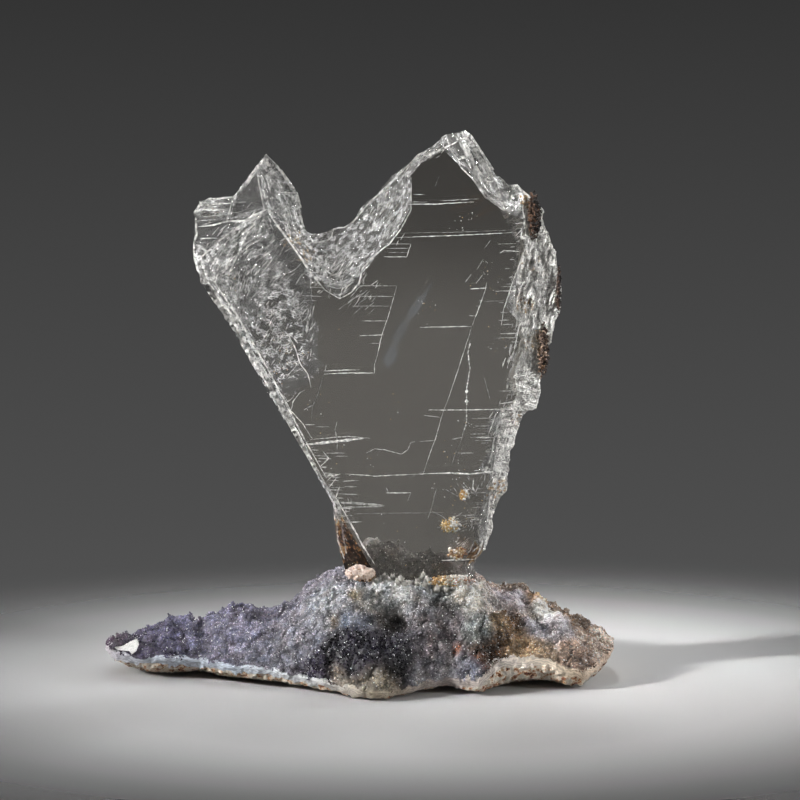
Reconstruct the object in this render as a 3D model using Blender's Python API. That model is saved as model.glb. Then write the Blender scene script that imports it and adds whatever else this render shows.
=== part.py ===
"""Selenite on matrix: one clear, tabular selenite blade with a V-shaped broken top, standing in a
mound of amethyst and quartz druse on a banded chalcedony rind.

The blade faces -Y and stands in a socket at the top of the mound. Lengths in the lists are in
millimetres and MM turns them into metres. Z is up and the mound rests on its flat pad at z = 0.
The whole specimen is moved at the end so that the origin is under the middle of its box.
"""

import math
import random

import bmesh
import bpy
from mathutils import Vector, noise
from mathutils.geometry import delaunay_2d_cdt

MM = 0.001

# Driving dimensions, in millimetres
HALF_THICKNESS = 7.0  # half the blade's thickness between its two cleavage faces
FOOT_Z = 42.0  # underside of the blade, down in its socket
SOCKET_GAP = 0.4  # clearance between the blade and the druse round its foot
TOUCH_GAP = 0.35  # clearance of the small crusts from what they grow on
OUTLINE_STEP = 4.2  # longest run along an outline between two points
BLADE_GRAIN = 4.6  # spacing of the points on the blade's broken faces
DRUSE_GRAIN = 3.35  # spacing of the points on the druse
CRYSTAL_RISE = 3.0  # how far a fused crystal's tip stands over its foot
LEDGE_PITCH = 8.5  # height from one ledge of the druse to the next
LEDGE_DEPTH = 1.1  # how strongly the ledges step
RIND_GRAIN = 9.0  # spacing of the points under the rind
CREASE_CLEARANCE = 1.5  # bare strip of a broken face beside its outline and creases
BREAK_DEPTHS = (-1.1, 0.6)  # how far a broken face's points sink below it or stand over it
RIM_WOBBLE = 0.8  # how far the mound's plan wavers
DRUSE_MARGIN = 2.0  # bare strip of the druse beside the rim
BAND_BULGE = (0.9, 4.6)  # how far the chalcedony band stands out, and how high over the underside
NECK = (-0.9, 2.6)  # the same for the neck between the band and the rind
SOLE_INSET = -2.2  # how far the rind's underside is set in from the rim
SWELL = 2.2  # height of the druse's long waves
CLUSTER_DEPTH = 3.6  # how far the small clusters stand out from the blade
SEED = 11

# The blade's outline in (x, z), clockwise from its left foot, as stretches of one kind of edge:
# points, depth of the front lip, depth of the back lip, and how rough the edge is.
FRONT = -HALF_THICKNESS
BACK = HALF_THICKNESS
LEFT_FOOT = ([(-6.5, 42), (-6.5, 50), (-8, 56), (-10, 64.5)], 2.0, BACK, 0.1)
LEFT_EDGE = (
    [(-12, 82.5), (-27, 110.5), (-40.5, 133), (-60, 168.5), (-67.5, 179.5), (-73, 188.5)],
    -1.0, BACK, 0.15,
)
LEFT_CORNER = ([(-75.5, 195), (-76.5, 200), (-75.7, 210), (-75.6, 220.5), (-73, 225)], 1.0, 6.0, 0.5)
LEFT_SHOULDER = ([(-68, 226.3), (-57.5, 227.4)], 2.5, 6.0, 0.2)
LEFT_PEAK_RISE = ([(-54, 232), (-50, 237.2), (-45.2, 242.7), (-42.4, 246.6)], 3.0, 6.0, 0.3)
LEFT_PEAK_TOP = ([(-40.6, 244.8), (-40.3, 242), (-37.4, 242)], 5.5, BACK, 0.0)
NOTCH = (
    [(-33, 236), (-29.3, 230.6), (-26.9, 224.2), (-25.8, 216.3), (-24, 209.9), (-18.7, 209.5),
     (-8, 212.7), (-3.7, 213.7), (1.3, 221.3), (7.8, 227), (17, 237.7), (22.7, 241.3),
     (28.7, 246.4), (35.2, 251), (41, 255.8), (50, 257.8)],
    6.0, BACK, 0.35,
)
RIGHT_PEAK_SLOPE = ([(52, 256), (56, 250), (64.4, 237.3), (69.6, 232.1)], 3.0, BACK, 0.0)
RIGHT_EDGE = (
    [(74, 232.7), (80, 228.2), (85.3, 221), (86.3, 213), (91, 202), (92, 195.5), (95, 185.6),
     (93.5, 173.7), (90.7, 166.4), (90, 161.4), (88, 152.6), (84.5, 145.3), (85.3, 136),
     (82.8, 129.3), (77, 125.7), (74.2, 114.8), (70.4, 103.8), (70.8, 99.3), (68.7, 89),
     (65.5, 84), (62.2, 74.4), (63, 68), (59.3, 61.4), (54.5, 52.5)],
    -3.5, 3.5, 0.9,
)
RIGHT_FOOT = ([(54.5, 48), (54.5, 42)], -6.5, 6.5, 0.0)
BLADE_EDGES = (
    LEFT_FOOT, LEFT_EDGE, LEFT_CORNER, LEFT_SHOULDER, LEFT_PEAK_RISE, LEFT_PEAK_TOP, NOTCH,
    RIGHT_PEAK_SLOPE, RIGHT_EDGE, RIGHT_FOOT,
)

# Creases on the blade's front, as (x, z, depth). APEX is where the upper left facets meet.
APEX = (-42.3, 222.1, -3.5)
SHOULDER_ROOT = (-59.7, 216.7, -1.5)
NOTCH_BASE_LEFT = (-18.4, 189.4, FRONT)
BEVEL_RIGHT_OF_NOTCH = [
    (x, z, FRONT) for x, z in
    [(-8.6, 180.4), (-2.1, 181.1), (0.7, 186.5), (3.6, 194), (9.3, 201.5), (15.6, 207.9),
     (19.9, 215), (24.1, 222.8), (24.8, 228.5), (24.1, 237.7), (29.2, 243.8), (36.3, 248.4),
     (40.2, 249.6), (45.4, 244.5), (51.8, 239.4), (55.7, 232.2), (58.3, 228.9), (67.5, 221.8)]
]
ROUGH_EDGE_START = [
    (x, z, FRONT) for x, z in
    [(71.9, 219.9), (76.5, 217.9), (72.1, 210.2), (77.4, 207.5), (75.4, 198.3), (71.6, 187.8),
     (68.4, 177.5), (77.2, 159.7), (74.5, 150.3), (72.7, 144.4), (74.6, 137.1), (72.6, 131.3),
     (63.9, 128.5), (60.4, 119), (64, 116.8), (61.2, 108), (56, 99.9), (62, 98), (60, 90),
     (58, 83), (57, 74), (57, 66), (54, 59), (50, 52), (49, 43.5)]
]
FRONT_CREASES = [
    [(-45.7, 237.7, -1.5), APEX, (-36.6, 215, -4.5), (-28.3, 202.9, -6), NOTCH_BASE_LEFT,
     *BEVEL_RIGHT_OF_NOTCH, *ROUGH_EDGE_START],
    [(10, 43.5, FRONT), (8.4, 49, FRONT), (-10.8, 83.2, FRONT), (-24.5, 111.4, FRONT),
     (-36.3, 135.6, FRONT), (-54.6, 168.6, FRONT), (-61, 180.1, -6.5), (-68.8, 189.2, -6),
     (-71.9, 198.1, -5)],
    [(-54.6, 168.6, FRONT), (-40, 163, FRONT), (-27, 165, FRONT), (-26, 185, FRONT),
     NOTCH_BASE_LEFT],
    [APEX, (-57.6, 195.8, -5.5), (-61, 180.1, -6.5)],
    [APEX, (-54.2, 217.6, -1.5), SHOULDER_ROOT, (-74.2, 201.8, -1.5)],
    [SHOULDER_ROOT, (-56.9, 225.5, -0.5)],
    [SHOULDER_ROOT, (-74.2, 214.4, -0.5)],
    [(-72.5, 222, 0.5), (-58.5, 223.5, 0.5)],
    [(43, 252.5, 0.5), (50.5, 247, -2), (57.5, 236, -2), (61, 230, -1)],
]
BACK_CREASES = [
    [(x, z, BACK) for x, z in
     [(64, 226), (74, 205), (71, 185), (76, 160), (70, 142), (74, 132), (60, 122), (60, 108),
      (62, 92), (54, 76), (55, 62), (49, 52), (49, 43.5)]],
]

# The mound's plan as (x, y), from its left tip along the front, and its rim's underside in z.
RIM = [
    (-121, 1, 8), (-117, -7, 8), (-103, -14, 6), (-91, -15, 6), (-74, -17, 6), (-58, -25, 4.5),
    (-44, -28, 4), (-27, -34, 2.5), (-12, -43, 1.5), (3, -51, 0.5), (12, -52, 0.5), (26, -44, 1.5),
    (41, -39, 4), (57, -42, 0.6), (72, -34, 4.5), (87, -32, 5.5), (96, -34, 3), (105, -32, 1.2),
    (114, -19, 4), (120, -9, 9), (121, 3, 10), (117, 18, 8), (107, 33, 4), (91, 43, 2),
    (73, 49, 1.2), (52, 56, 3), (30, 59, 1), (5, 58, 3), (-20, 54, 1.2), (-45, 47, 4),
    (-68, 38, 5), (-90, 28, 4), (-108, 18, 6), (-118, 10, 7.5),
]
RIM_HEIGHT = [(-121, 8.0), (-90, 8.5), (-50, 7.0), (10, 7.5), (60, 8.0), (121, 9.0)]
RIDGE = [
    (-121, 14), (-116, 17.5), (-108, 18.5), (-100, 21), (-92, 25), (-74, 26.5), (-60, 31),
    (-40, 31.5), (-28, 34), (-20, 42), (-10, 48), (0, 49), (50, 47.5), (58, 44), (68, 37.5),
    (89, 31.5), (103, 24.5), (114, 20.5), (121, 14.5),
]
RIDGE_Y = [(-121, 3), (-60, 8), (-10, 3), (50, 3), (90, 9), (121, 2)]
PAD = [
    (-66, -4), (-50, -11), (-25, -16), (-2, -28), (20, -27), (50, -22), (84, -15), (95, -3),
    (88, 13), (60, 30), (20, 38), (-20, 34), (-50, 22), (-66, 8),
]
# Botryoidal lumps and hollows on the druse, as (x, y, radius, rise).
LUMPS = [
    (-1, -24, 5, 4), (-6, -27, 5, 4), (-11, -31, 5, 3.5), (14, -18, 8, 3), (17, -29, 8, -8),
    (4, -32, 6, 4), (10, -43, 8, -5), (27, -21, 7, 3), (31, -31, 6, 3), (-4, -46, 6, 2.5),
    (-16, -20, 9, 3), (-22, -14, 6, 3), (24, -41, 6, 3), (38, -37, 7, 3.5), (45, -33, 5, -3.5),
    (51, -15, 9, 4), (46, -24, 6, 3), (59, -27, 5, 5), (62, -35, 6, -4), (68, -22, 6, 5),
    (74, -20, 4, -5), (77, -27, 12, 6), (77, -27, 5, -7), (72, 3, 8, 3.5), (84, 4, 6, 4),
    (89, -5, 7, 3.5), (82, -11, 5, -3), (94, -15, 7, 4), (97, -4, 6, 3), (102, -24, 8, 3),
    (107, 7, 6, 3), (108, -13, 4, -3), (115, -9, 6, 3), (58, -6, 7, 3), (65, -13, 5, -3),
    (-30, -22, 8, 3.5), (-28, -6, 7, 3), (-40, -12, 7, 3), (-38, 6, 8, 2.5), (-50, -19, 6, 2),
    (-53, -2, 9, 3.5), (-64, -9, 6, 3), (-70, 4, 8, 3), (-80, -9, 6, 2), (-86, -2, 7, 3.5),
    (-95, -8, 6, 2.5), (-99, 4, 7, 2), (-106, -5, 5, 3), (-114, -2, 6, 3.5), (-60, 18, 12, 4),
    (-25, 30, 15, 5), (10, 35, 14, 5), (45, 32, 14, 5), (78, 25, 12, 4),
]
# The druse that climbs the back of the blade's foot, as (x, y, radius, rise).
BACKING = [(1, 14, 9, 13), (13, 15, 10, 14), (27, 14, 10, 11.5), (40, 15, 9, 9)]


def between(table, x):
    """The value at x on straight lines through (x, value) pairs."""
    if x <= table[0][0]:
        return table[0][1]
    for (x0, v0), (x1, v1) in zip(table, table[1:]):
        if x <= x1:
            return v0 + (v1 - v0) * (x - x0) / (x1 - x0)
    return table[-1][1]


def subdivided(points, longest, closed=True):
    """The points, with more added evenly wherever two stand further apart than longest."""
    ends = zip(points, points[1:] + points[:1]) if closed else zip(points, points[1:])
    result = []
    for a, b in ends:
        count = max(1, math.ceil(math.dist(a[:2], b[:2]) / longest))
        for i in range(count):
            result.append(tuple(p + (q - p) * i / count for p, q in zip(a, b)))
    if not closed:
        result.append(points[-1])
    return result


def wobbled(points, amount, seed):
    """A closed outline with each point pushed across it by smooth noise; amount(point) in mm."""
    result = []
    for i, point in enumerate(points):
        before, after = points[i - 1], points[(i + 1) % len(points)]
        along = Vector((after[0] - before[0], after[1] - before[1])).normalized()
        push = noise.noise(Vector((point[0] * 0.31, point[1] * 0.31, seed))) * 2 * amount(point)
        result.append((point[0] - along.y * push, point[1] + along.x * push, *point[2:]))
    return result


def lattice(low, high, step, jitter, rng):
    """Points of a triangular lattice, jittered, each with its place in the repeat of three."""
    rows = math.ceil((high[1] - low[1]) / (step * 0.866)) + 1
    columns = math.ceil((high[0] - low[0]) / step) + 1
    for row in range(rows):
        for column in range(columns):
            x = low[0] + step * (column + 0.5 * (row % 2)) + rng.uniform(-jitter, jitter)
            y = low[1] + step * 0.866 * row + rng.uniform(-jitter, jitter)
            yield x, y, (column + 2 * (row % 2)) % 3


def inside(point, loop):
    """Whether a point is inside a closed outline."""
    x, y = point
    found = False
    for (x0, y0, *_), (x1, y1, *_) in zip(loop, loop[1:] + loop[:1]):
        if (y0 > y) != (y1 > y) and x < x0 + (y - y0) * (x1 - x0) / (y1 - y0):
            found = not found
    return found


def distance_to(point, lines):
    """Distance from a point to the nearest of some line segments."""
    best = 1e9
    for (ax, ay), (bx, by) in lines:
        dx, dy = bx - ax, by - ay
        t = ((point[0] - ax) * dx + (point[1] - ay) * dy) / (dx * dx + dy * dy)
        t = min(1.0, max(0.0, t))
        best = min(best, math.hypot(point[0] - ax - t * dx, point[1] - ay - t * dy))
    return best


def segments(points, closed=False):
    """The straight runs of an outline, in its two flat coordinates."""
    flat = [p[:2] for p in points]
    return list(zip(flat, flat[1:] + flat[:1])) if closed else list(zip(flat, flat[1:]))


def triangulated(outline, creases, extra):
    """Triangles inside a closed outline, with creases kept as edges and extra points added.

    Points are (u, v, height). Returns the points, the triangles, and where each outline point is.
    """
    points = [Vector(p[:2]) for p in outline]
    heights = {i: p[2] for i, p in enumerate(outline)}
    edges = [(i, (i + 1) % len(outline)) for i in range(len(outline))]
    for crease in creases:
        for k, p in enumerate(crease):
            heights[len(points)] = p[2]
            points.append(Vector(p[:2]))
            if k:
                edges.append((len(points) - 2, len(points) - 1))
    for p in extra:
        heights[len(points)] = p[2]
        points.append(Vector(p[:2]))
    found, _, faces, origins, _, _ = delaunay_2d_cdt(points, edges, [], 1, 1e-5)
    place = {old: new for new, olds in enumerate(origins) for old in olds}
    result = [(*v, heights[olds[0]] if olds else None) for v, olds in zip(found, origins)]
    return result, faces, [place[i] for i in range(len(outline))]


def height_on(point, points, faces):
    """Height at a flat point on a triangulated surface, or None outside it."""
    x, y = point
    for face in faces:
        (ax, ay, ah), (bx, by, bh), (cx, cy, ch) = (points[i] for i in face)
        area = (bx - ax) * (cy - ay) - (cx - ax) * (by - ay)
        if abs(area) < 1e-9:
            continue
        u = ((x - ax) * (cy - ay) - (cx - ax) * (y - ay)) / area
        v = ((bx - ax) * (y - ay) - (x - ax) * (by - ay)) / area
        if u >= -1e-6 and v >= -1e-6 and u + v <= 1 + 1e-6:
            return ah + u * (bh - ah) + v * (ch - ah)
    return None


def material(name, colour, roughness, transmission=0.0):
    """A plain Principled material."""
    made = bpy.data.materials.new(name)
    made.use_nodes = True
    shader = made.node_tree.nodes["Principled BSDF"]
    shader.inputs["Base Color"].default_value = (*colour, 1.0)
    shader.inputs["Roughness"].default_value = roughness
    shader.inputs["Metallic"].default_value = 0.0
    shader.inputs["Transmission Weight"].default_value = transmission
    return made


def add_object(name, bm, finish=None):
    """Turns a bmesh into a named object, with its normals made consistent."""
    bmesh.ops.recalc_face_normals(bm, faces=bm.faces)
    mesh = bpy.data.meshes.new(name)
    bm.to_mesh(mesh)
    bm.free()
    thing = bpy.data.objects.new(name, mesh)
    bpy.context.scene.collection.objects.link(thing)
    if finish:
        mesh.materials.append(finish)
    return thing


def as_cutter(thing):
    """Keeps a helper out of the model."""
    thing.hide_render = True
    thing.display_type = "WIRE"
    return thing


def cut(thing, cutter):
    """Takes one mesh out of another."""
    modifier = thing.modifiers.new("Cut", "BOOLEAN")
    modifier.operation = "DIFFERENCE"
    modifier.solver = "EXACT"
    modifier.object = as_cutter(cutter)


def broken_surface(outline, creases, flat_depth, side, rng):
    """One of the blade's two big faces: a flat cleavage plane and the broken facets round it."""
    coarse, coarse_faces, _ = triangulated(outline, creases, [])
    coarse = [p if p[2] is not None else (p[0], p[1], flat_depth) for p in coarse]
    lines = segments(outline, closed=True)
    for crease in creases:
        lines += segments(crease)
    low = (min(p[0] for p in outline), min(p[1] for p in outline))
    high = (max(p[0] for p in outline), max(p[1] for p in outline))
    extra = []
    for x, z, _ in lattice(low, high, BLADE_GRAIN, 0.9, rng):
        if not inside((x, z), outline) or distance_to((x, z), lines) < CREASE_CLEARANCE:
            continue
        depth = height_on((x, z), coarse, coarse_faces)
        if depth is None or abs(depth - flat_depth) < 0.1:
            continue
        broken = side * rng.uniform(*BREAK_DEPTHS)
        depth = min(BACK - 1.2, max(FRONT, depth + broken)) if side < 0 else depth + broken
        extra.append((x, z, min(BACK, depth)))
    points, faces, place = triangulated(outline, creases, extra)
    points = [p if p[2] is not None else (p[0], p[1], flat_depth) for p in points]
    return points, faces, place


def blade_outline():
    """The blade's outline as (x, z, front lip, back lip)."""
    corners = [
        (x, z, front, back, rough)
        for points, front, back, rough in BLADE_EDGES
        for x, z in points
    ]
    outline = subdivided(corners, OUTLINE_STEP)
    for i, p in enumerate(outline):
        if p[1] <= FOOT_Z + 0.01:
            outline[i] = (p[0], FOOT_Z, FRONT, BACK, 0.0)
    return wobbled(outline, lambda p: p[4], 3.0)


def build_blade(rng):
    """The clear selenite blade, standing in its socket."""
    outline = blade_outline()
    front = broken_surface([(x, z, f) for x, z, f, _, _ in outline], FRONT_CREASES, FRONT, -1, rng)
    back = broken_surface([(x, z, b) for x, z, _, b, _ in outline], BACK_CREASES, BACK, 1, rng)
    bm = bmesh.new()
    sides = []
    for points, faces, place in (front, back):
        verts = [bm.verts.new((x * MM, depth * MM, z * MM)) for x, z, depth in points]
        for face in faces:
            bm.faces.new([verts[i] for i in face])
        sides.append([verts[i] for i in place])
    for i in range(len(outline)):
        j = (i + 1) % len(outline)
        bm.faces.new((sides[0][i], sides[0][j], sides[1][j], sides[1][i]))
    bmesh.ops.triangulate(bm, faces=[f for f in bm.faces if len(f.verts) > 3])
    clear = material("Selenite", (0.93, 0.93, 0.91), 0.03, transmission=1.0)
    return add_object("selenite_blade", bm, clear)


def rim_loop():
    """The mound's plan, closely spaced, as (x, y, underside)."""
    return wobbled(subdivided(RIM, OUTLINE_STEP), lambda p: RIM_WOBBLE, 8.0)


def rim_reach(rim, x, front):
    """How far the plan reaches at x, on its front or its back."""
    found = [0.0]
    for (x0, y0, _), (x1, y1, _) in zip(rim, rim[1:] + rim[:1]):
        if min(x0, x1) <= x <= max(x0, x1) and x0 != x1:
            found.append(y0 + (y1 - y0) * (x - x0) / (x1 - x0))
    return min(found) if front else max(found)


def druse_height(x, y, rim):
    """Height of the druse at (x, y), before its crystals."""
    ridge_y = between(RIDGE_Y, x)
    reach = rim_reach(rim, x, y < ridge_y)
    share = min(1.0, abs(y - ridge_y) / max(1.0, abs(reach - ridge_y)))
    foot = between(RIM_HEIGHT, x) + 4.0
    height = foot + (between(RIDGE, x) - foot) * (1 - share**2.1) ** 0.8
    fade = min(1.0, (1 - share) * 5)
    for lump_x, lump_y, radius, rise in LUMPS + BACKING:
        near = math.hypot(x - lump_x, y - lump_y) / radius
        if near < 1:
            height += rise * fade * (1 - near * near) ** 0.8
    height += SWELL * fade * noise.noise(Vector((x * 0.11, y * 0.13, 4.0)))
    return height + LEDGE_DEPTH * fade * math.sin(height * math.tau / LEDGE_PITCH)


def build_matrix(rng):
    """The mound: druse on top, a broken banded rim, and a rind with a flat pad to rest on."""
    rim = rim_loop()
    lines = segments(rim, closed=True)
    crest = [(x, y, z + between(RIM_HEIGHT, x)) for x, y, z in rim]
    low = (min(p[0] for p in rim), min(p[1] for p in rim))
    high = (max(p[0] for p in rim), max(p[1] for p in rim))
    druse = []
    for x, y, kind in lattice(low, high, DRUSE_GRAIN, 0.55, rng):
        if inside((x, y), rim) and distance_to((x, y), lines) > DRUSE_MARGIN:
            tip = CRYSTAL_RISE * rng.uniform(0.5, 1.25) if kind == 0 else 0.0
            druse.append((x, y, druse_height(x, y, rim) + tip))
    pad = [(x, y, 0.0) for x, y in PAD]
    pad_lines = segments(pad, closed=True)
    bottom = offset_loop(rim, SOLE_INSET)
    rough = []
    for x, y, _ in lattice(low, high, RIND_GRAIN, 1.5, rng):
        clear = distance_to((x, y), segments(bottom, closed=True)) > 3.5
        if inside((x, y), bottom) and clear and not inside((x, y), pad):
            if distance_to((x, y), pad_lines) > 3:
                rough.append((x, y, rng.uniform(1.0, 3.2)))

    bm = bmesh.new()
    top = add_sheet(bm, crest, [], druse)
    chalcedony = add_ring(bm, raised(offset_loop(rim, BAND_BULGE[0]), BAND_BULGE[1]))
    neck = add_ring(bm, raised(offset_loop(rim, NECK[0]), NECK[1]))
    under = add_sheet(bm, bottom, [pad + pad[:1]], rough)
    for upper, lower in ((top, chalcedony), (chalcedony, neck), (neck, under)):
        for i in range(len(rim)):
            j = (i + 1) % len(rim)
            bm.faces.new((upper[i], upper[j], lower[j], lower[i]))
    bmesh.ops.triangulate(bm, faces=[f for f in bm.faces if len(f.verts) > 3])
    stone = material("Druse and chalcedony", (0.21, 0.19, 0.25), 0.35)
    return add_object("druse_matrix", bm, stone)


def offset_loop(loop, distance):
    """A closed plan outline moved outwards by a distance."""
    result = []
    for i, point in enumerate(loop):
        before, after = loop[i - 1], loop[(i + 1) % len(loop)]
        along = Vector((after[0] - before[0], after[1] - before[1])).normalized()
        result.append((point[0] + along.y * distance, point[1] - along.x * distance, point[2]))
    return result


def raised(loop, height):
    """A closed plan outline moved up by a height."""
    return [(x, y, z + height) for x, y, z in loop]


def add_ring(bm, points):
    """Vertices for one closed ring, given in millimetres."""
    return [bm.verts.new((x * MM, y * MM, z * MM)) for x, y, z in points]


def add_sheet(bm, outline, creases, extra):
    """Adds a triangulated sheet, and returns the vertices of its outline."""
    points, faces, place = triangulated(outline, creases, extra)
    verts = add_ring(bm, points)
    for face in faces:
        bm.faces.new([verts[i] for i in face])
    return [verts[i] for i in place]


def build_lump(name, centre, size, finish, grain, seed, detail=2):
    """A rough, rounded lump, from a sphere pushed in and out by noise."""
    bm = bmesh.new()
    bmesh.ops.create_icosphere(bm, subdivisions=detail, radius=1.0)
    for vert in bm.verts:
        push = noise.noise(vert.co * 2.3 + Vector((seed, 0, 0))) * grain
        facet = noise.cell(vert.co * 3.1 + Vector((seed, 0, 0))) * grain * 0.5
        vert.co *= 1 + push + facet
        vert.co = Vector(c * s / 2 for c, s in zip(vert.co, size)) + Vector(centre)
        vert.co *= MM
    return add_object(name, bm, finish)


def swollen(thing, by):
    """A copy of a lump, a little larger all round, to cut its seat."""
    bm = bmesh.new()
    bm.from_mesh(thing.data)
    bm.normal_update()
    for vert in bm.verts:
        vert.co += vert.normal * by * MM
    return add_object(thing.name + "_seat", bm)


def build_foot_growths(matrix):
    """The calcite nodule and the sugary crust that sit in front of the blade's foot."""
    calcite = material("Calcite", (0.72, 0.60, 0.52), 0.6)
    sugar = material("Sugary calcite crust", (0.80, 0.68, 0.52), 0.5)
    nodule = build_lump("calcite_nodule", (0.8, -12.6, 49.0), (16, 9.6, 8.8), calcite, 0.16, 1.0)
    crust = build_lump("foot_crust", (44.5, -11.6, 47.8), (24, 7.6, 9.5), sugar, 0.18, 5.0)
    for growth in (nodule, crust):
        cut(matrix, swollen(growth, TOUCH_GAP))


def build_face_clusters():
    """The three small clusters of honey-coloured crystals on the blade's lower right face."""
    honey = material("Honey calcite", (0.72, 0.52, 0.25), 0.4)
    places = {
        "honey_cluster_upper": ((49.8, 88.0), (5, 7)),
        "honey_cluster_middle": ((43.5, 72.5), (12, 9)),
        "honey_cluster_lower": ((46.5, 60.0), (12, 8)),
    }
    for seed, (name, ((x, z), (width, height))) in enumerate(places.items()):
        centre = (x, FRONT - TOUCH_GAP - CLUSTER_DEPTH / 2, z)
        lump = build_lump(name, centre, (width, CLUSTER_DEPTH, height), honey, 0.14, 20.0 + seed)
        flatten(lump, FRONT - TOUCH_GAP)


def flatten(thing, limit):
    """Pushes back whatever passes a plane facing the blade, so that the lump sits on it."""
    for vert in thing.data.vertices:
        vert.co.y = min(vert.co.y, limit * MM)


def build_iron_crusts(blade):
    """The dark iron oxide crusts that cling to the blade's rough right edge."""
    iron = material("Iron oxide", (0.10, 0.05, 0.03), 0.7)
    places = {
        "iron_crust_shoulder": ((85.0, -4.5, 219.5), (8, 7, 17)),
        "iron_crust_side": ((95.2, -3.0, 184.0), (6, 7, 16)),
        "iron_crust_waist": ((88.5, -4.5, 156.5), (8, 7, 22)),
    }
    seat = swollen(blade, TOUCH_GAP)
    for seed, (name, (centre, size)) in enumerate(places.items()):
        cut(build_lump(name, centre, size, iron, 0.2, 40.0 + seed), seat)


def main():
    for thing in list(bpy.data.objects):
        bpy.data.objects.remove(thing)
    rng = random.Random(SEED)
    blade = build_blade(rng)
    matrix = build_matrix(rng)
    cut(matrix, swollen(blade, SOCKET_GAP))
    build_foot_growths(matrix)
    build_face_clusters()
    build_iron_crusts(blade)
    centre_on_origin()


def centre_on_origin():
    """Moves everything together so that the origin is under the middle of the box."""
    shown = [o for o in bpy.data.objects if not o.hide_render]
    corners = [v.co for o in shown for v in o.data.vertices]
    middle = [(min(c[i] for c in corners) + max(c[i] for c in corners)) / 2 for i in range(2)]
    for thing in bpy.data.objects:
        thing.location.x -= middle[0]
        thing.location.y -= middle[1]


main()
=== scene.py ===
"""Looks for a clear selenite blade on a mound of amethyst and quartz druse.

Laid out as an add-on and run as a script. The frame gives the solids; each operator dresses one
piece, or a group of like pieces, and the last one sets the stage. Lengths in the lists are in
millimetres and MM turns them into metres; positions are those of the frame.
"""

import math
import random

import bmesh
import bpy
import numpy as np
from bpy.props import FloatProperty, FloatVectorProperty, PointerProperty
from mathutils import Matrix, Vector, noise
from mathutils.bvhtree import BVHTree


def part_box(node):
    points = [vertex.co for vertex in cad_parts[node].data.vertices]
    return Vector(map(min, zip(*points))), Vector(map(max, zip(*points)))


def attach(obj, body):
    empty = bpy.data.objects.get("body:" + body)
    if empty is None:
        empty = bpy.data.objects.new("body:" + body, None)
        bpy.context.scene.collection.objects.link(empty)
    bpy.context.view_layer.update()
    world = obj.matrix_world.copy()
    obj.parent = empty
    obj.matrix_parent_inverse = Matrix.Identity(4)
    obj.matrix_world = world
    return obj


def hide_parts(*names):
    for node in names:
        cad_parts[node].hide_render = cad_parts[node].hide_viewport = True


bl_info = {
    "name": "Selenite on Matrix",
    "version": (1, 0, 0),
    "blender": (4, 5, 0),
    "location": "View3D > Sidebar > Selenite",
    "description": "Dresses a selenite blade and its druse mound, and lights them",
    "category": "Object",
}

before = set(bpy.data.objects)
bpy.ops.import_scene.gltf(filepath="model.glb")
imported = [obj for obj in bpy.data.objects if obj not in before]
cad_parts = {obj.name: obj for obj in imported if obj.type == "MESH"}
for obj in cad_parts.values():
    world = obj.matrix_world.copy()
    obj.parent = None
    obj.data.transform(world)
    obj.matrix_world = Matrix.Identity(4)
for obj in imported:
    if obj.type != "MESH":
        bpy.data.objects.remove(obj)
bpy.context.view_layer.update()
BLADE_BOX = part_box("selenite_blade")
MM = 0.001
GYPSUM_IOR = 1.52
QUARTZ_IOR = 1.54

# Where the blade's two cleavage faces lie, and how far off a point may be and still be on one.
BLADE_FRONT = BLADE_BOX[0][1] / MM
BLADE_BACK = BLADE_BOX[1][1] / MM
FACE_TOLERANCE = 0.05

# How many times the broken faces' edges are halved at most, and how long one may stay, in grains.
BREAKING_ROUNDS = 5
EDGE_PER_GRAIN = 1.6

# The mound's plan as (x, y) and its rim's underside in z, in millimetres, from its left tip.
RIM = [
    (-121, -2.5, 8), (-117, -10.5, 8), (-103, -17.5, 6), (-91, -18.5, 6), (-74, -20.5, 6),
    (-58, -28.5, 4.5), (-44, -31.5, 4), (-27, -37.5, 2.5), (-12, -46.5, 1.5), (3, -54.5, 0.5),
    (12, -55.5, 0.5), (26, -47.5, 1.5), (41, -42.5, 4), (57, -45.5, 0.6), (72, -37.5, 4.5),
    (87, -35.5, 5.5), (96, -37.5, 3), (105, -35.5, 1.2), (114, -22.5, 4), (120, -12.5, 9),
    (121, -0.5, 10), (117, 14.5, 8), (107, 29.5, 4), (91, 39.5, 2), (73, 45.5, 1.2),
    (52, 52.5, 3), (30, 55.5, 1), (5, 54.5, 3), (-20, 50.5, 1.2), (-45, 43.5, 4),
    (-68, 34.5, 5), (-90, 24.5, 4), (-108, 14.5, 6), (-118, 6.5, 7.5),
]

# How many rounds of smoothing round off the solid's facets, and how many pieces the druse makes.
SOFTENING = 14
DRUSE_PIECES = 4

# The rim: how high its chalcedony band starts and ends over the underside, how wide the rim is,
# and how much lower the band lies along x, in millimetres.
BAND_FROM, BAND_TO = 2.0, 6.6
RIM_WIDTH = 5
RIM_LIFT = [
    (-121, 2), (-104, 1.5), (-90, 0), (-70, 1), (-40, 0.3), (-25, 0.5), (0, 1.6), (45, 1.6),
    (58, -2.4), (66, -6), (85, -5.4), (100, -2), (121, 0),
]

# The rim's lower side: how far down a point's normal dips there, and up to what height. On the
# flat underside it dips further, and the rind reaches higher over the rim's edge.
RIM_DIP, RIM_TOP = -0.25, 14
FLAT_DIP, FLAT_RIND = -0.93, 3.0

# Waves in the band's edges and layers, as (length, height), and how thick a layer is.
BAND_WAVES = ((9.0, 8.0), (2.6, 3.5))
LAYER = 0.22

# How far the druse's ridge lies under the solid's along x.
ARM_SLUMP = [
    (-121, 1.5), (-114, 3.5), (-104, 1.5), (-89, 0.5), (-78, 3), (-58, 4.5), (-45, 3.5), (-33, 3),
    (-22, 0),
]

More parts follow.
